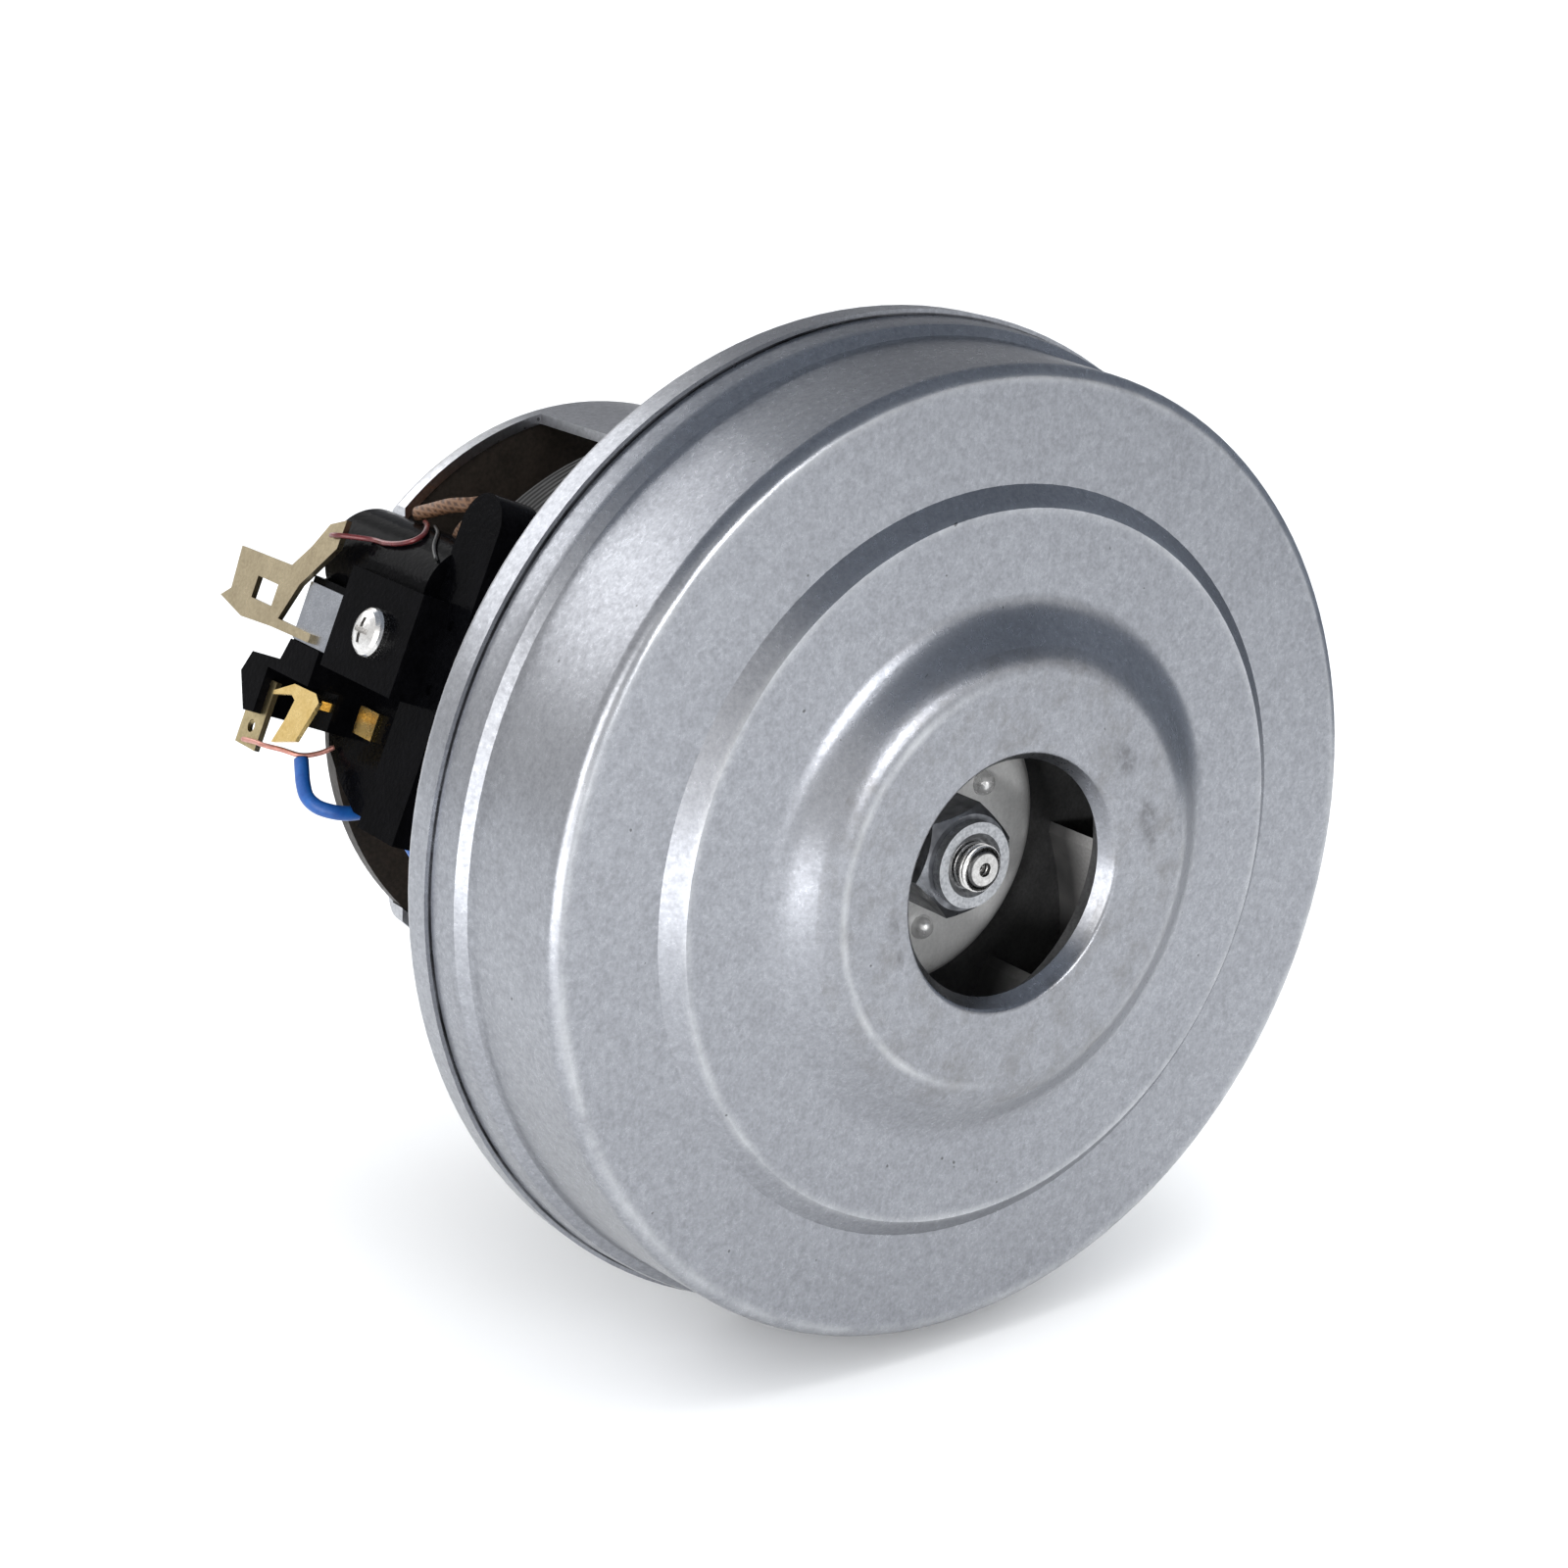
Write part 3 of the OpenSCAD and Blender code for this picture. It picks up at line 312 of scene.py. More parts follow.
def stack_material():
    """Varnished lamination stack: thin sheet edges across the shaft."""
    m = Maker("lamination_stack")
    sheets = m.bands("X", 320.0, 0.4)
    cloud = m.noise(140.0, 3.0)
    both = m.weighted((sheets, 0.4), (cloud, 0.6))
    colour = m.ramp(both, [(0.3, (0.003, 0.0028, 0.0026)), (0.7, (0.013, 0.0122, 0.0115))])
    roughness = m.ramp(cloud, [(0.3, 0.5), (0.7, 0.34)])
    m.bump(sheets, 0.00008)
    m.shader.inputs["Specular IOR Level"].default_value = 0.2
    return m.finish(colour, roughness, 0.3)


def sleeve_material():
    """Woven brown sleeve: crossing threads wound round the wire."""
    m = Maker("woven_sleeve")
    weave = m.math("MAXIMUM", m.bands("DIAGONAL", 420.0, 1.0), m.bands("Z", 420.0, 1.0))
    cloud = m.noise(300.0, 3.0)
    both = m.weighted((weave, 0.5), (cloud, 0.5))
    colour = m.ramp(both, [(0.3, (0.055, 0.025, 0.013)), (0.75, (0.17, 0.088, 0.047))])
    roughness = m.ramp(cloud, [(0.3, 0.66), (0.7, 0.5)])
    m.bump(weave, 0.0001)
    return m.finish(colour, roughness)


def vane_material():
    """Fan vanes: bright sheet at the front edge, darkened by painted shade towards the back plate."""
    m = Maker("fan_vane_alloy")
    along = m.axes()[0]
    grain = m.noise(2400.0, 2.0)
    cloud = m.noise(150.0, 3.0)
    bright = m.ramp(grain, [(0.3, (0.56, 0.55, 0.54)), (0.7, (0.74, 0.73, 0.72))])
    # Painted shade: the vane darkens towards the back plate, where the inlet's shadow falls
    painted_shade = m.ramp(cloud, [(0.3, (0.03, 0.03, 0.031)), (0.7, (0.07, 0.069, 0.068))])
    front = m.math("DIVIDE", m.math("SUBTRACT", along, VANE_SHADE_X), VANE_LIT_X - VANE_SHADE_X, clamp=True)
    roughness = m.ramp(cloud, [(0.3, 0.55), (0.7, 0.4)])
    m.bump(grain, 0.00003)
    return m.finish(m.mix(front, painted_shade, bright), roughness, 0.2)


def nut_material():
    """Fan nut: a dark oily hexagon under a lighter turned collar."""
    m = Maker("oiled_nut")
    along = m.axes()[0]
    cloud = m.noise(420.0, 3.0)
    turned = m.noise(2600.0, 2.0)
    dark = m.ramp(cloud, [(0.35, (0.07, 0.073, 0.08)), (0.65, (0.17, 0.176, 0.19))])
    light = m.ramp(turned, [(0.35, (0.24, 0.246, 0.258)), (0.65, (0.37, 0.378, 0.394))])
    collar = m.math("GREATER_THAN", along, COLLAR_X)
    roughness = m.ramp(cloud, [(0.3, 0.42), (0.7, 0.24)])
    m.bump(turned, 0.00002)
    return m.finish(m.mix(collar, dark, light), roughness, 0.9)


def shaft_material():
    """Ground steel shaft with painted shade in the grooves of the thread at its front end."""
    m = Maker("threaded_shaft")
    along = m.axes()[0]
    turned = m.noise(2600.0, 2.0)
    thread = m.bands("X", 420.0, 0.2)
    groove_shade = m.math("MULTIPLY", m.math("GREATER_THAN", along, THREAD_X), thread)
    bright = m.ramp(turned, [(0.3, (0.5, 0.49, 0.48)), (0.7, (0.72, 0.71, 0.7))])
    # Painted shade: dark bands in the thread's grooves
    colour = m.mix(m.ramp(groove_shade, [(0.35, 0.0), (0.75, 0.92)]), bright, (0.03, 0.03, 0.032))
    roughness = m.ramp(turned, [(0.3, 0.34), (0.7, 0.18)])
    m.bump(groove_shade, 0.0002)
    return m.finish(colour, roughness, 1.0)


materials = {
    "cover": zinc(
        "galvanised_cover", low=(0.232, 0.238, 0.258), high=(0.325, 0.335, 0.362), rough=(0.25, 0.34)),
    "yoke": zinc(
        "galvanised_yoke", low=(0.33, 0.336, 0.353), high=(0.48, 0.488, 0.512), rough=(0.26, 0.38)),
    "steel": plain_surface(
        "bright_steel", low=(0.52, 0.51, 0.5), high=(0.74, 0.73, 0.72), metal=1.0,
        rough=(0.16, 0.34), blotch=400.0, grain=3200.0, height=0.00002),
    "alloy": plain_surface(
        "fan_alloy", low=(0.1, 0.1, 0.102), high=(0.19, 0.19, 0.193), metal=0.85,
        rough=(0.34, 0.5), blotch=150.0, grain=2400.0, height=0.00003),
    "hub": plain_surface(
        "fan_hub_alloy", low=(0.4, 0.4, 0.4), high=(0.54, 0.54, 0.537), metal=0.4,
        rough=(0.3, 0.46), blotch=260.0, grain=2400.0, height=0.00003),
    "rivet": plain_surface(
        "rivet_alloy", low=(0.5, 0.5, 0.5), high=(0.68, 0.68, 0.676), metal=0.6,
        rough=(0.2, 0.32), blotch=260.0, grain=2400.0, height=0.00003),
    "tin": plain_surface(
        "tinned_cap", low=(0.2, 0.21, 0.235), high=(0.33, 0.345, 0.38), metal=1.0,
        rough=(0.2, 0.36), blotch=500.0, grain=2600.0, height=0.00003),
    "tan_brass": plain_surface(
        "terminal_brass", low=(0.27, 0.22, 0.138), high=(0.43, 0.36, 0.235), metal=1.0,
        rough=(0.24, 0.42), blotch=320.0, grain=2200.0, height=0.00003),
    "gold_brass": plain_surface(
        "clip_brass", low=(0.58, 0.4, 0.13), high=(0.8, 0.6, 0.26), metal=1.0,
        rough=(0.2, 0.38), blotch=380.0, grain=2200.0, height=0.00003),
    "dull_brass": plain_surface(
        "tab_brass", low=(0.3, 0.24, 0.12), high=(0.5, 0.41, 0.23), metal=1.0,
        rough=(0.26, 0.44), blotch=420.0, grain=2200.0, height=0.00003),
    "copper": plain_surface(
        "bare_copper", low=(0.52, 0.25, 0.15), high=(0.78, 0.42, 0.28), metal=1.0,
        rough=(0.22, 0.4), blotch=500.0, grain=2500.0, height=0.00003),
    "moulding": plain_surface(
        "black_moulding", low=(0.0009, 0.0009, 0.0012), high=(0.003, 0.003, 0.0036), metal=0.0,
        rough=(0.08, 0.2), blotch=240.0, grain=1500.0, height=0.00005, specular=0.015),
    "board": plain_surface(
        "dark_board", low=(0.008, 0.0068, 0.0056), high=(0.032, 0.0255, 0.0208), metal=0.0,
        rough=(0.34, 0.5), blotch=130.0, grain=1700.0, height=0.00005, specular=0.2),
    "guide": plain_surface(
        "guide_plastic", low=(0.025, 0.025, 0.026), high=(0.05, 0.05, 0.052), metal=0.0,
        rough=(0.4, 0.55), blotch=150.0, grain=1700.0, height=0.00004),
    "carbon": plain_surface(
        "brush_carbon", low=(0.018, 0.018, 0.02), high=(0.06, 0.06, 0.063), metal=0.0,
        rough=(0.5, 0.7), blotch=300.0, grain=2600.0, height=0.00006),
    "rubber": plain_surface(
        "cushion_rubber", low=(0.012, 0.012, 0.012), high=(0.03, 0.03, 0.03), metal=0.0,
        rough=(0.6, 0.8), blotch=200.0, grain=1800.0, height=0.00005),
    "enamel": plain_surface(
        "coil_enamel", low=(0.2, 0.075, 0.03), high=(0.42, 0.18, 0.07), metal=0.55,
        rough=(0.2, 0.36), blotch=420.0, grain=2600.0, height=0.00003, coat=0.4),
    "blue": plain_surface(
        "blue_insulation", low=(0.004, 0.055, 0.25), high=(0.012, 0.1, 0.36), metal=0.0,
        rough=(0.3, 0.46), blotch=300.0, grain=2000.0, height=0.00003),
    "red": plain_surface(
        "red_enamel", low=(0.06, 0.009, 0.011), high=(0.17, 0.026, 0.028), metal=0.3,
        rough=(0.22, 0.38), blotch=500.0, grain=2600.0, height=0.00002, coat=0.3),
    "black": plain_surface(
        "black_insulation", low=(0.01, 0.01, 0.01), high=(0.03, 0.03, 0.03), metal=0.0,
        rough=(0.34, 0.5), blotch=400.0, grain=2600.0, height=0.00002),
    "pink_copper": plain_surface(
        "stripped_copper", low=(0.36, 0.15, 0.12), high=(0.6, 0.29, 0.24), metal=0.7,
        rough=(0.26, 0.44), blotch=600.0, grain=2600.0, height=0.00002),
    "vane": vane_material(),
    "nut": nut_material(),
    "shaft": shaft_material(),
    "stack": stack_material(),
    "sleeve": sleeve_material(),
}

# Which material each CAD piece has
use = {
    "cover": ["fan_cover", "motor_bracket"],
    "yoke": ["motor_yoke"],
    "shaft": ["shaft"],
    "steel": ["diffuser_screws", "fan_spacer", "front_outer_ring", "front_inner_ring", "front_balls",
              "rear_outer_ring", "rear_inner_ring", "rear_balls", "yoke_screws", "holder_screws"],
    "alloy": ["fan_back", "fan_front"],
    "vane": ["fan_vanes"],
    "hub": ["fan_hub"],
    "rivet": ["fan_rivets"],
    "nut": ["fan_nut"],
    "guide": ["diffuser"],
    "gold_brass": ["front_cage", "rear_cage", "clip_near", "clip_far", "contact_near", "contact_far"],
    "dull_brass": ["lead_tab_near", "lead_tab_far", "tube_near", "tube_far"],
    "tan_brass": ["terminal_near", "terminal_far"],
    "tin": ["cap_near", "cap_far"],
    "rubber": ["bearing_cushion"],
    "board": ["end_disc", "commutator_hub"],
    "stack": ["stator_core", "armature_core"],
    "enamel": ["coil_core_top", "coil_core_bottom", "armature_winding"],
    "copper": ["commutator_bars"],
    "moulding": ["holder_near", "holder_far"],
    "carbon": ["brush_near", "brush_far"],
}
for key, names in use.items():
    for name in names:
        data = nodes[name].data
        data.materials.clear()
        data.materials.append(materials[key])

# Rounded edges on the pieces whose edges catch the light, widths in millimetres
side_rounds = {
    "holder": 0.35, "terminal": 0.12, "cap": 0.15, "clip": 0.1, "contact": 0.12, "lead_tab": 0.1,
}
rounds = {piece + "_" + side: width for piece, width in side_rounds.items() for side in SIDES}
rounds.update({"fan_nut": 0.2, "holder_screws": 0.12})
ROUND_ANGLE = math.radians(35.0)
for name, width in rounds.items():
    bevel = nodes[name].modifiers.new("edge", "BEVEL")
    bevel.width = width / 1000.0
    bevel.segments = 2
    bevel.limit_method = "ANGLE"
    bevel.angle_limit = ROUND_ANGLE
    bevel.use_clamp_overlap = True

# Sharpest fold that still counts as a drawn bend, and how near two corners are joined, in metres
BEND_ANGLE = math.radians(24.0)
JOIN_WITHIN = 0.000001


def bend_shading():
    """Geometry nodes that join split corners and keep only the edges sharper than a bend."""
    group = bpy.data.node_groups.new("smooth_bends", "GeometryNodeTree")
    group.interface.new_socket("Geometry", in_out="INPUT", socket_type="NodeSocketGeometry")
    group.interface.new_socket("Geometry", in_out="OUTPUT", socket_type="NodeSocketGeometry")
    start = group.nodes.new("NodeGroupInput")
    join = group.nodes.new("GeometryNodeMergeByDistance")
    join.inputs["Distance"].default_value = JOIN_WITHIN
    even = group.nodes.new("GeometryNodeSetShadeSmooth")
    fold = group.nodes.new("GeometryNodeInputMeshEdgeAngle")
    sharp = group.nodes.new("FunctionNodeCompare")
    sharp.operation = "GREATER_THAN"
    sharp.inputs[1].default_value = BEND_ANGLE
    normal = group.nodes.new("GeometryNodeSetMeshNormal")
    normal.inputs["Remove Custom"].default_value = True
    end = group.nodes.new("NodeGroupOutput")
    links = group.links
    links.new(start.outputs[0], join.inputs["Geometry"])
    links.new(join.outputs["Geometry"], even.inputs["Geometry"])
    links.new(even.outputs["Geometry"], normal.inputs["Mesh"])
    links.new(fold.outputs["Unsigned Angle"], sharp.inputs[0])
    links.new(sharp.outputs[0], normal.inputs["Edge Sharpness"])
    links.new(normal.outputs[0], end.inputs[0])
    return group


# Drawn bends and domes, each shaded as one smooth surface
bends = bend_shading()
for name in ("fan_cover", "fan_hub", "fan_rivets", "motor_bracket", "motor_yoke"):
    shading = nodes[name].modifiers.new("bends", "NODES")
    shading.node_group = bends
    weighted = nodes[name].modifiers.new("weighted", "WEIGHTED_NORMAL")
    weighted.keep_sharp = True

# The brush frame: X along the shaft, -Y outwards, Z across, turned with the brushes.
# Sizes are in millimetres, here and for the wires below
SHIFT = math.radians(21.0)
AT = -58.5
HOLDER = 50.0
TUBE_END = HOLDER - 1.0
TAB = 0.8
HUMP_U, HUMP_W, HUMP_R = 41.0, 9.0, 7.2

# Radius of each kind of wire, and its clearance from what it lies on
THIN, BLACK, LEAD, SLEEVE = 0.35, 0.245, 1.0, 1.0
LIFT = 0.06


def from_side(side, p):
    """A point of a side's brush frame, in metres in the part's frame."""
    y = p[1] * math.cos(SHIFT) + p[2] * math.sin(SHIFT)
    z = -p[1] * math.sin(SHIFT) + p[2] * math.cos(SHIFT)
    sign = -1.0 if side == "far" else 1.0
    return Vector((p[0], sign * y, sign * z)) / 1000.0


def in_side(p):
    """A point of the part's frame, in the near side's brush frame."""
    y = p[1] * math.cos(SHIFT) - p[2] * math.sin(SHIFT)
    z = p[1] * math.sin(SHIFT) + p[2] * math.cos(SHIFT)
    return (p[0], y, z)


def on_hump(x, angle, lift):
    """A point on the holder's round cover."""
    a = math.radians(angle)
    return (AT + x, -HUMP_U - (HUMP_R + lift) * math.cos(a), HUMP_W + (HUMP_R + lift) * math.sin(a))


def smooth(points, steps):
    """A smooth curve through the points."""
    found = []
    for i in range(len(points) - 1):
        p0, p1 = points[max(i - 1, 0)], points[i]
        p2, p3 = points[i + 1], points[min(i + 2, len(points) - 1)]
        for k in range(steps):
            t = k / steps
            found.append(0.5 * (2 * p1 + (p2 - p0) * t + (2 * p0 - 5 * p1 + 4 * p2 - p3) * t * t
                                + (3 * p1 - p0 - 3 * p2 + p3) * t ** 3))
    found.append(points[-1])
    return found


def tube(bm, path, radius, sides):
    """Sweeps a round tube with closed ends along a path."""
    aim = (path[1] - path[0]).normalized()
    across = aim.orthogonal().normalized()
    rings = []
    for i, point in enumerate(path):
        ahead = (path[min(i + 1, len(path) - 1)] - path[max(i - 1, 0)]).normalized()
        across = (across - ahead * across.dot(ahead)).normalized()
        other = ahead.cross(across)
        rings.append([bm.verts.new(point + radius * (math.cos(a) * across + math.sin(a) * other))
                      for a in (2 * math.pi * k / sides for k in range(sides))])
    for one, two in zip(rings, rings[1:]):
        for k in range(sides):
            bm.faces.new((one[k], one[(k + 1) % sides], two[(k + 1) % sides], two[k]))
    bm.faces.new(reversed(rings[0]))
    bm.faces.new(rings[-1])


def wire_piece(name, paths, radius, sides, material, body, replaced):
    """Round tubes along the paths, as one piece in place of a CAD node."""
    bm = bmesh.new()
    for path in paths:
        tube(bm, path, radius / 1000.0, sides)
    bmesh.ops.recalc_face_normals(bm, faces=bm.faces)
    data = bpy.data.meshes.new(name)
    bm.to_mesh(data)
    bm.free()
    for face in data.polygons:
        face.use_smooth = len(face.vertices) == 4
    data.materials.append(material)
    piece = bpy.data.objects.new(name, data)
    scene.collection.objects.link(piece)
    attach(piece, body)
    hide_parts(replaced)
    return piece


# Sides of a wound wire's tube and of a lead's tube, and curve steps between two points of a route
WOUND_SIDES, LEAD_SIDES, ROUTE_STEPS = 10, 14, 6

# Field coil windings: one wound layer round each core
STACK_REAR, STACK_FRONT = -47.0, -17.0
SHOE_R, POLE_HALF = 26.5, 16.0
COIL_W, COIL_GAP, COIL_BEND = 8.56, 0.6, 6.0
WIRE, WIRE_CLEAR, LOOP_PITCH = 0.54, 0.06, 1.0
COIL_OUT = POLE_HALF + COIL_W
COIL_LOW = math.sqrt(SHOE_R ** 2 - POLE_HALF ** 2) + 0.2
COIL_MID = COIL_LOW + 4.0
COIL_X0 = STACK_REAR - COIL_GAP - COIL_W
COIL_X1 = STACK_FRONT + COIL_GAP + COIL_W
COIL_FACE = COIL_OUT + WIRE + WIRE_CLEAR + LIFT
CORNER_POINTS = 10
LOOP_POINTS = 4 * CORNER_POINTS
WINDING_POINTS = 7 * LOOP_POINTS + 34


def loop_point(i):
    """A point of the winding, which climbs one pitch on each loop."""
    corner, step = (i // CORNER_POINTS) % 4, i % CORNER_POINTS
    a = math.radians(90.0 * corner + 90.0 * step / (CORNER_POINTS - 1))
    r = COIL_BEND + WIRE_CLEAR + WIRE / 2
    sx = 1.0 if corner in (0, 3) else -1.0
    sy = 1.0 if corner < 2 else -1.0
    x = (COIL_X0 + COIL_X1) / 2 + sx * ((COIL_X1 - COIL_X0) / 2 - COIL_BEND) + r * math.cos(a)
    y = sy * (COIL_OUT - COIL_BEND) + r * math.sin(a)
    return Vector((x, y, COIL_LOW + LOOP_PITCH * (0.2 + i / LOOP_POINTS))) / 1000.0


winding = [loop_point(i) for i in range(WINDING_POINTS)]
flip = Matrix.Rotation(math.pi, 3, "X")
for place, path in (("top", winding), ("bottom", [flip @ p for p in winding])):
    wire_piece("coil_winding_" + place, [path], WIRE / 2, WOUND_SIDES, materials["enamel"],
               "frame", "coil_wire_" + place)

# Brush springs, each between its brush and its tube's end
BRUSH_END, BRUSH_TRAVEL = 36.05, 5.0
SPRING_R, SPRING_WIRE_R = 2.35, 0.3
CURLS, CURL_POINTS = 7, 24
SPRING_LOW, SPRING_HIGH = BRUSH_END + SPRING_WIRE_R, TUBE_END - SPRING_WIRE_R


def curl_point(side, i):
    a = 2 * math.pi * i / CURL_POINTS
    u = SPRING_LOW + (SPRING_HIGH - SPRING_LOW) * i / (CURL_POINTS * CURLS)
    return from_side(side, (AT + SPRING_R * math.cos(a), -u, SPRING_R * math.sin(a)))


for side in SIDES:
    curls = [curl_point(side, i) for i in range(CURL_POINTS * CURLS + 1)]
    spring = wire_piece("brush_spring_" + side, [curls], SPRING_WIRE_R, WOUND_SIDES, materials["steel"],
                        "frame", "spring_" + side)
    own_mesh(spring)

# Leads and wires, along the same routes as the solids
STRIP_U = TUBE_END + 2 * TAB + THIN
THIN_LIFT = THIN + LIFT
BLACK_LIFT = BLACK + LIFT
routes = {
    "blue_leads": [
        (AT + 1.3, 4.0 - HOLDER, -18.9),
        (AT + 2.4, 4.0 - HOLDER, -20.2),
        (AT + 3.7, 4.0 - HOLDER, -21.6),
        (AT + 5.4, 4.2 - HOLDER, -23.0),
        (AT + 7.0, 5.2 - HOLDER, -23.7),
        (AT + 8.2, 7.0 - HOLDER, -23.7),
        (AT + 8.5, 9.0 - HOLDER, -23.4),
        (AT + 8.4, 11.0 - HOLDER, -22.8),
        (AT + 8.0, 13.4 - HOLDER, -22.0),
        (AT + 7.4, 16.0 - HOLDER, -22.0),
        in_side((AT + 7.6, -COIL_FACE - 5.0, -COIL_MID + 1.5)),
        in_side((AT + 8.6, -COIL_FACE - 2.0, -COIL_MID)),
        in_side((AT + 8.6, -COIL_FACE, -COIL_MID))],
    "red_wires": [
        (AT - 1.6, -STRIP_U, 10.8),
        (AT + 0.4, -STRIP_U, 11.2),
        on_hump(3.4, 24, THIN_LIFT),
        on_hump(6.8, 26, THIN_LIFT),
        on_hump(9.6, 31, THIN_LIFT),
        on_hump(11.4, 39, THIN_LIFT),
        on_hump(11.8, 48, THIN_LIFT),
        on_hump(11.0, 57, THIN_LIFT),
        on_hump(9.4, 66, THIN_LIFT),
        on_hump(7.4, 75, THIN_LIFT),
        on_hump(4.8, 84, THIN_LIFT)],
    "copper_wires": [
        (AT - 9.6, 1.2 - HOLDER - THIN, -19.6),
        (AT - 6.0, 1.0 - HOLDER - THIN, -19.1),
        (AT - 3.4, 1.0 - HOLDER - THIN, -18.9),
        (AT - 1.2, 2.2 - HOLDER, -18.6),
        (AT + 0.9, 4.0 - HOLDER, -18.4),
        (AT + 1.8, 6.0 - HOLDER, -17.4),
        (AT + 2.4, 8.0 - HOLDER - THIN_LIFT, -16.0)],
    "black_wires": [
        on_hump(7.4, 84, BLACK_LIFT),
        on_hump(9.6, 76, BLACK_LIFT),
        on_hump(11.8, 68, BLACK_LIFT),
        on_hump(13.4, 60, BLACK_LIFT),
        on_hump(14.8, 52, BLACK_LIFT),
        on_hump(16.2, 44, BLACK_LIFT),
        on_hump(17.8, 37, BLACK_LIFT),
        on_hump(19.4, 31, BLACK_LIFT)],
    "wire_sleeves": [
        on_hump(2.4, 84, SLEEVE + LIFT),
        (AT + 5.0, 8.6 - HOLDER, 18.4),
        (AT + 8.0, 9.0 - HOLDER, 19.7),
        (AT + 10.4, 10.0 - HOLDER, 20.6),
        (AT + 10.8, 12.4 - HOLDER, 21.2),
        in_side((AT + 9.5, -COIL_FACE - 5.2, COIL_MID + 4.2)),
        in_side((AT + 9.3, -COIL_FACE - 4.8, COIL_MID + 1.4)),
        in_side((AT + 9.3, -COIL_FACE - 2.4, COIL_MID)),
        in_side((AT + 9.3, -COIL_FACE, COIL_MID))],
}

# Radius, material and slot of each kind of wire
looks = {
    "blue_leads": (LEAD, "blue", "blue_cover"),
    "red_wires": (THIN, "red", "red_enamel"),
    "copper_wires": (THIN, "pink_copper", "copper"),
    "black_wires": (BLACK, "black", "black_cover"),
    "wire_sleeves": (SLEEVE, "sleeve", "brown_cover"),
}
for name, route in routes.items():
    radius, key, slot = looks[name]
    paths = [smooth([from_side(side, p) for p in route], ROUTE_STEPS) for side in SIDES]
    wire_piece(name + "_round", paths, radius, LEAD_SIDES, materials[key], "frame", name)

# Floor and cards, in metres: the cards are seen only in the metal's reflections
FLOOR_Z = cad_box[0][2] - 0.0005


def stage_plane(name, half, place, aim, colour):
    """A flat sheet that faces a direction, with a faint cloud in its colour."""
    bm = bmesh.new()
    bmesh.ops.create_grid(bm, x_segments=1, y_segments=1, size=1.0)
    data = bpy.data.meshes.new(name)
    bm.to_mesh(data)
    bm.free()
    m = Maker(name)
    cloud = m.noise(3.0, 2.0)
    pale = m.ramp(cloud, [(0.3, tuple(0.985 * c for c in colour)), (0.7, colour)])
    m.shader.inputs["Specular IOR Level"].default_value = 0.2
    data.materials.append(m.finish(pale, m.ramp(cloud, [(0.3, 0.8), (0.7, 0.75)])))
    piece = bpy.data.objects.new(name, data)
    scene.collection.objects.link(piece)
    piece.location = place
    piece.scale = (half[0], half[1], 1.0)
    piece.rotation_mode = "QUATERNION"
    piece.rotation_quaternion = Vector(aim).to_track_quat("Z", "Y")
    return piece


stage_plane("floor", (6.0, 6.0), (0.0, 0.0, FLOOR_Z), (0.0, 0.0, 1.0), (0.96, 0.96, 0.96))
cards = [
    stage_plane("ceiling_card", half=(0.62, 0.62), place=(0.0, 0.1, 0.62), aim=(0.0, 0.0, -1.0),
                colour=(0.2, 0.22, 0.255)),
    stage_plane("front_card", half=(0.5, 0.34), place=(0.62, 0.26, 0.52), aim=(-0.62, -0.26, -0.45),
                colour=(0.17, 0.19, 0.225)),
    stage_plane("right_card", half=(0.27, 0.2), place=(-0.02, 0.36, 0.13), aim=(0.0, -1.0, 0.0),
                colour=(0.2, 0.22, 0.255)),
    stage_plane("rear_card", half=(0.26, 0.26), place=(-0.6, 0.46, 0.3), aim=(0.6, -0.46, -0.3),
                colour=(0.24, 0.24, 0.25)),
]
for card in cards:
    card.visible_camera = False
    card.visible_diffuse = False
    card.visible_shadow = False

WHITE = (1.0, 1.0, 1.0)
SKY_COLOUR, SKY_STRENGTH = (0.95, 0.975, 1.0), 1.2


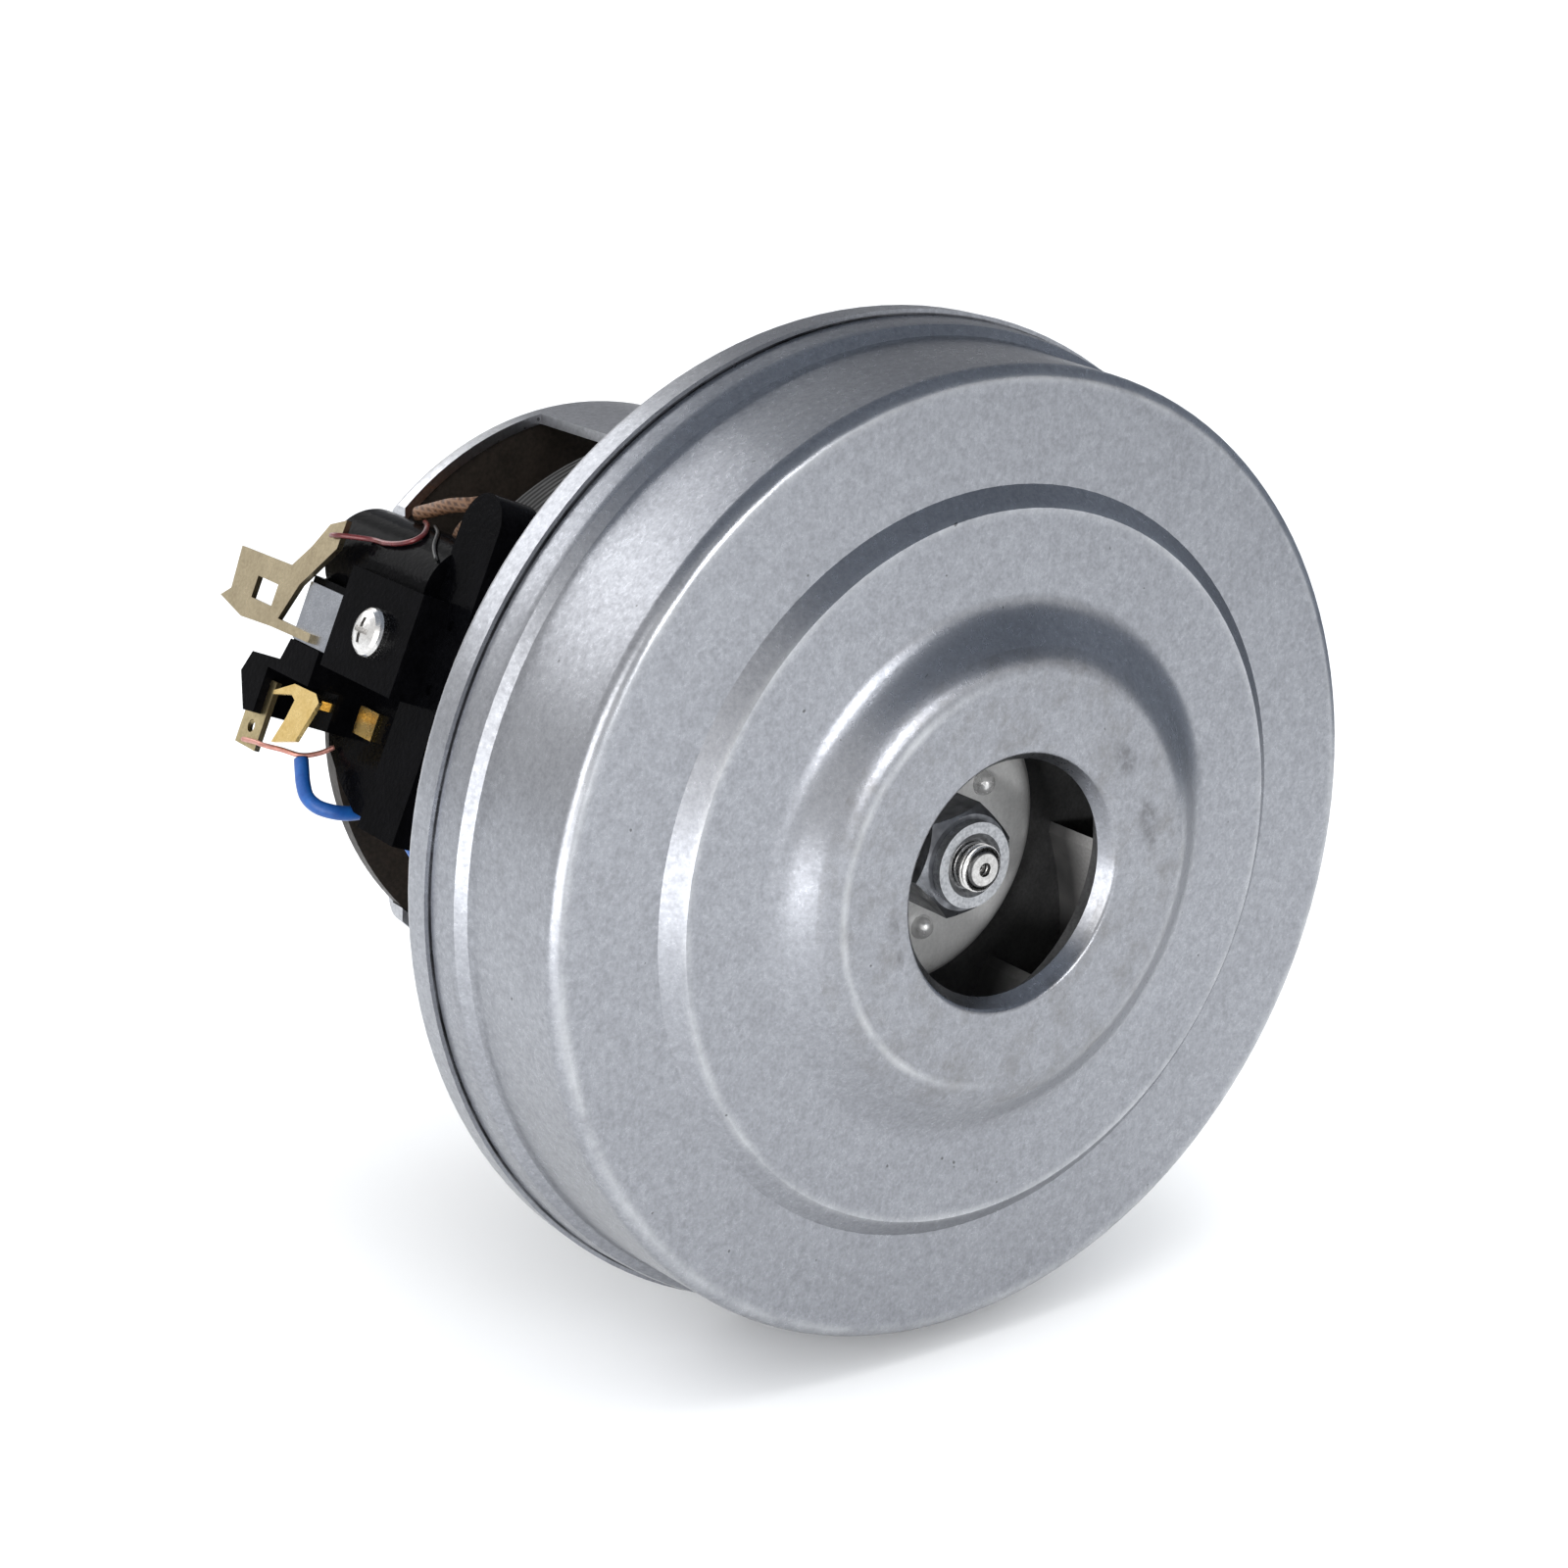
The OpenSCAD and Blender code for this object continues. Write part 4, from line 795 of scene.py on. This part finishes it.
def set_world():
    """A soft sky that lights the object, and plain white where it is seen or reflected."""
    world = bpy.data.worlds.new("studio")
    scene.world = world
    world.use_nodes = True
    tree = world.node_tree
    tree.nodes.clear()
    rays = tree.nodes.new("ShaderNodeLightPath").outputs
    seen = rays["Is Camera Ray"]
    for kind in ("Is Glossy Ray", "Is Transmission Ray"):
        join = tree.nodes.new("ShaderNodeMath")
        join.operation = "MAXIMUM"
        tree.links.new(seen, join.inputs[0])
        tree.links.new(rays[kind], join.inputs[1])
        seen = join.outputs[0]
    choose = tree.nodes.new("ShaderNodeMixShader")
    tree.links.new(seen, choose.inputs[0])
    skies = ((SKY_COLOUR, SKY_STRENGTH), (WHITE, 1.0))
    for socket, (colour, strength) in zip((choose.inputs[1], choose.inputs[2]), skies):
        sky = tree.nodes.new("ShaderNodeBackground")
        sky.inputs["Color"].default_value = (*colour, 1.0)
        sky.inputs["Strength"].default_value = strength
        tree.links.new(sky.outputs[0], socket)
    output = tree.nodes.new("ShaderNodeOutputWorld")
    tree.links.new(choose.outputs[0], output.inputs["Surface"])


set_world()


def add_light(data, place, target):
    """Places a lamp and points it at its target."""
    piece = bpy.data.objects.new(data.name, data)
    scene.collection.objects.link(piece)
    piece.location = place
    piece.rotation_mode = "QUATERNION"
    piece.rotation_quaternion = (Vector(target) - Vector(place)).to_track_quat("-Z", "Y")
    return piece


def lamp(name, place, target, size, power, colour=WHITE):
    """A soft square or oblong lamp, with its power in watts."""
    data = bpy.data.lights.new(name, "AREA")
    data.shape = "RECTANGLE"
    data.size, data.size_y = size
    data.energy = power
    data.color = colour
    return add_light(data, place, target)


def spot_lamp(name, place, target, radius, angle, power):
    """A narrow lamp into the inlet that leaves no shine on the cover."""
    data = bpy.data.lights.new(name, "SPOT")
    data.energy = power
    data.shadow_soft_size = radius
    data.spot_size = math.radians(angle)
    data.spot_blend = 0.6
    add_light(data, place, target).visible_glossy = False


CENTRE = (0.0, 0.0, 0.0)
lamp("key_left", (0.5, -0.8, 0.24), CENTRE, size=(0.5, 0.5), power=2.5, colour=(1.0, 0.99, 0.97))
lamp("front_low", (0.66, 0.08, 0.15), CENTRE, size=(0.2, 0.2), power=1.0)
lamp("low_strip", (0.16, -0.22, -0.035), (0.02, 0.0, 0.0), size=(0.26, 0.08), power=0.19)
front_fill = lamp("front_fill", (0.1, 0.02, 0.35), (0.07, 0.03, -0.06), size=(0.2, 0.2), power=0.4)
front_fill.visible_glossy = False
spot_lamp("vane_spot", (0.32, -0.38, 0.025), (0.015, 0.025, -0.006), radius=0.03, angle=8.0, power=10.0)
spot_lamp("hub_spot", (0.44, -0.21, 0.1), (0.013, 0.005, 0.0), radius=0.03, angle=8.0, power=4.0)
lamp("back_left", (-0.7, -0.27, 0.5), CENTRE, size=(0.6, 0.6), power=2.4)
